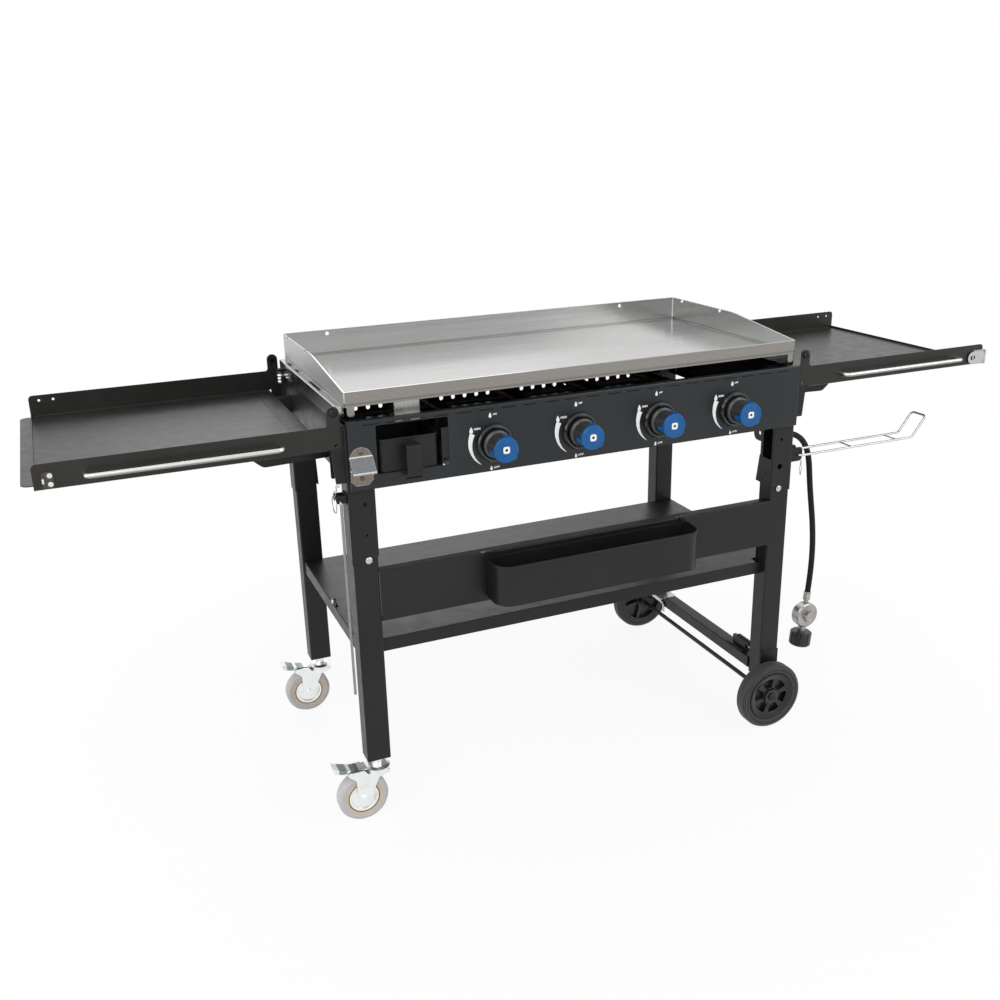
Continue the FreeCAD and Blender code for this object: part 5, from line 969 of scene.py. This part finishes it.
def make_cap_marks(white, black):
    """White push mark on each blue cap: a rounded square with a dark disc in it."""
    for k in range(1, KNOB_COUNT + 1):
        low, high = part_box("knob_cap_%d" % k)
        x = (low.x + high.x) / 2
        z = (low.z + high.z) / 2
        square = []
        dot = []
        for turn in turns(CAP_MARK_STEPS):
            across = math.cos(turn)
            above = math.sin(turn)
            reach = CAP_SQUARE / (across ** 4 + above ** 4) ** 0.25
            square.append((x + reach * across, z + reach * above))
            dot.append((x + CAP_DOT[0] * across, z + CAP_DOT[1] * above))
        bm = bmesh.new()
        printed_plate(bm, square, low.y + CAP_SQUARE_SINK)
        mesh_piece("cap_mark_%d" % k, bm, white, "knob_%d" % k)
        bm = bmesh.new()
        printed_plate(bm, dot, low.y + CAP_DOT_SINK)
        mesh_piece("cap_mark_centre_%d" % k, bm, black, "knob_%d" % k)


def join_values(tree, operation, first, second):
    """Two values of a node tree joined by one operation."""
    node = tree.nodes.new("ShaderNodeMath")
    node.operation = operation
    tree.links.new(first, node.inputs[0])
    tree.links.new(second, node.inputs[1])
    return node.outputs[0]


def join_shaders(tree, factor, first, second):
    """Links a mix of two shaders to the output of a node tree."""
    mix = tree.nodes.new("ShaderNodeMixShader")
    for value, target in zip((factor, first, second), mix.inputs):
        tree.links.new(value, target)
    output = next(node for node in tree.nodes if node.type.startswith("OUTPUT"))
    tree.links.new(mix.outputs[0], output.inputs["Surface"])


def glow(tree, kind, strength):
    """Plain white light of that node kind."""
    node = tree.nodes.new(kind)
    node.inputs["Color"].default_value = WHITE
    node.inputs["Strength"].default_value = strength
    return node.outputs[0]


def background_rays(tree):
    """1 for the rays that show the background: camera, glossy and transmission rays."""
    path = tree.nodes.new("ShaderNodeLightPath")
    value = path.outputs["Is Camera Ray"]
    for other in ("Is Glossy Ray", "Is Transmission Ray"):
        value = join_values(tree, "MAXIMUM", value, path.outputs[other])
    return value


def make_floor():
    """Plain pale floor that goes white to the camera and keeps the object's shadow."""
    bm = bmesh.new()
    bmesh.ops.create_grid(bm, x_segments=1, y_segments=1, size=FLOOR_REACH)
    data = bpy.data.meshes.new("floor")
    bm.to_mesh(data)
    bm.free()
    floor = new_object("floor", data)
    material = bpy.data.materials.new("floor")
    material.use_nodes = True
    tree = material.node_tree
    shader = find_node(tree, "BSDF_PRINCIPLED")
    shader.inputs["Base Color"].default_value = FLOOR_COLOUR
    shader.inputs["Roughness"].default_value = FLOOR_ROUGHNESS
    place = tree.nodes.new("ShaderNodeTexCoord")
    distance = tree.nodes.new("ShaderNodeVectorMath")
    distance.operation = "LENGTH"
    tree.links.new(place.outputs["Object"], distance.inputs[0])
    fade = tree.nodes.new("ShaderNodeMapRange")
    fade.interpolation_type = "SMOOTHSTEP"
    fade.inputs["From Min"].default_value = FLOOR_FADE_START
    fade.inputs["From Max"].default_value = FLOOR_FADE_END
    fade.inputs["To Min"].default_value = FLOOR_WHITE_NEAR
    fade.inputs["To Max"].default_value = 1.0
    tree.links.new(distance.outputs["Value"], fade.inputs["Value"])
    seen = join_values(tree, "MULTIPLY", background_rays(tree), fade.outputs["Result"])
    light = glow(tree, "ShaderNodeEmission", 1.0)
    join_shaders(tree, seen, shader.outputs[0], light)
    data.materials.append(material)


def make_world():
    """Soft even light, and a white background to the camera and to glossy surfaces."""
    world = bpy.data.worlds.new("studio")
    world.use_nodes = True
    bpy.context.scene.world = world
    tree = world.node_tree
    tree.nodes.clear()
    tree.nodes.new("ShaderNodeOutputWorld")
    soft = glow(tree, "ShaderNodeBackground", SOFT_LIGHT)
    white = glow(tree, "ShaderNodeBackground", 1.0)
    join_shaders(tree, background_rays(tree), soft, white)


def make_lamp(name, place, target, size, power):
    """Square soft lamp that looks at a point."""
    data = bpy.data.lights.new(name, "AREA")
    data.shape = "SQUARE"
    data.size = size
    data.energy = power
    lamp = new_object(name, data)
    lamp.location = place
    lamp.rotation_mode = "QUATERNION"
    lamp.rotation_quaternion = (Vector(target) - Vector(place)).to_track_quat("-Z", "Y")


make_camera()
hose = make_hose()

black_coat = powder_coat("black_coat", (0.0075, 0.0078, 0.0080), (0.0120, 0.0122, 0.0120))
panel_coat = powder_coat(
    "panel_coat", (0.0085, 0.0105, 0.0120), (0.0130, 0.0150, 0.0170), (0.30, 0.40),
    specular=0.42, tint=(0.92, 0.97, 1.0),
)
shelf_coat = powder_coat(
    "shelf_coat", (0.0100, 0.0101, 0.0096), (0.0165, 0.0164, 0.0155), (0.30, 0.40), dust=0.05,
    specular=0.38, tint=(1.0, 0.985, 0.95),
)
griddle_steel = rolled_steel()
stainless = brushed_steel("stainless", (0.31, 0.31, 0.30), (0.43, 0.43, 0.42))
zinc = zinc_plate("zinc")
rail_zinc = zinc_plate("rail_zinc", (0.44, 0.445, 0.45), (0.58, 0.58, 0.575), (0.12, 0.24))
hardware_zinc = zinc_plate("hardware_zinc", black_above=BLACK_FITTINGS_ABOVE)
pale_zinc = zinc_plate("pale_zinc", (0.82, 0.85, 0.845), (0.93, 0.945, 0.94), (0.26, 0.40))
opener_metal = opener_steel()
polished = chrome()
rod_steel = brushed_steel(
    "rod_steel", (0.22, 0.22, 0.21), (0.36, 0.355, 0.345), (0.22, 0.34), (60.0, 60.0, 3.0)
)
handle_metal = handle_steel("handle_metal", "left_handle")
catch_metal = catch_steel()
pedal_metal = pedal_zinc()
yellow_metal = brass()
burnt = heated_steel()
knob_black = moulded_plastic(
    "knob_black", (0.010, 0.010, 0.0105), (0.018, 0.018, 0.0185), (0.36, 0.50), specular=0.85
)
bezel_black = moulded_plastic(
    "bezel_black", (0.007, 0.007, 0.007), (0.012, 0.012, 0.012), (0.14, 0.26), coat=0.4, soft=0.0030
)
hub_black = moulded_plastic(
    "hub_black", (0.009, 0.009, 0.010), (0.016, 0.016, 0.017), (0.30, 0.44)
)
cap_blue = moulded_plastic(
    "cap_blue", (0.002, 0.080, 0.260), (0.003, 0.105, 0.320), (0.30, 0.42), specular=0.36
)
tyre_black = tyre_rubber()
rim_black = moulded_plastic(
    "rim_black", (0.010, 0.010, 0.011), (0.017, 0.017, 0.018), (0.14, 0.24), specular=0.36, soft=0.0012
)
hose_black = hose_rubber()
caster_grey = caster_rubber()
regulator_cast = cast_zinc()
print_white = ink("print_white", (0.93, 0.93, 0.91), (0.84, 0.84, 0.83))
print_dark = ink("print_dark", (0.012, 0.012, 0.014), (0.02, 0.02, 0.022))

paint(panel_coat, "front_panel")
paint(
    black_coat, "rear_panel", "side_panels", "leg_sleeves", "lower_legs", "cross_tube", "front_beam",
    "lower_shelf", "small_brackets", "hinge_posts", "support_arms", "cup_holder", "grease_cup",
    "condiment_bin", "axle",
)
paint(shelf_coat, "left_shelf", "right_shelf")
paint(griddle_steel, "griddle_plate")
paint(stainless, "grease_chute")
paint(opener_metal, "bottle_opener")
paint(rail_zinc, "support_rails")
paint(hardware_zinc, "fasteners")
paint(zinc, "hasp_base", "hasp_strap", "manifold")
paint(catch_metal, "latch_catch")
paint(handle_metal, "left_handle", "right_handle")
paint(polished, "towel_arm")
paint(rod_steel, "tool_rod")
paint(yellow_metal, "gas_valves")
paint(burnt, "burners")
paint(bezel_black, "knob_bezels")
paint(hose_black, hose)
paint(regulator_cast, "regulator")
paint(hub_black, "handwheel_nut")
for number in range(1, KNOB_COUNT + 1):
    paint(yellow_metal, "valve_spindle_%d" % number)
    paint(knob_black, "knob_body_%d" % number)
    paint(cap_blue, "knob_cap_%d" % number)
for end in ("front", "rear"):
    paint(pale_zinc, "caster_fork_" + end, "caster_hub_" + end)
    paint(pedal_metal, "caster_pedal_" + end)
    paint(caster_grey, "caster_tyre_" + end)
    paint(tyre_black, "wheel_tyre_" + end)
    paint(hub_black, "wheel_hub_" + end)

make_panel_marks(print_white)
make_cap_marks(print_white, print_dark)
make_flat_sheet("lower_shelf_top", SHELF_TOP_OUTLINE, SHELF_TOP_Z, SHELF_TOP_SHEET, shelf_coat)
make_flat_sheet("burner_tray", TRAY_OUTLINE, TRAY_Z, TRAY_SHEET, black_coat)
make_clips(zinc)
make_clip_nut(zinc)
for end in ("front", "rear"):
    make_wheel_face(end, rim_black)

make_floor()
make_world()
for lamp in LAMPS:
    make_lamp(*lamp)
bpy.context.scene.view_settings.view_transform = "Standard"
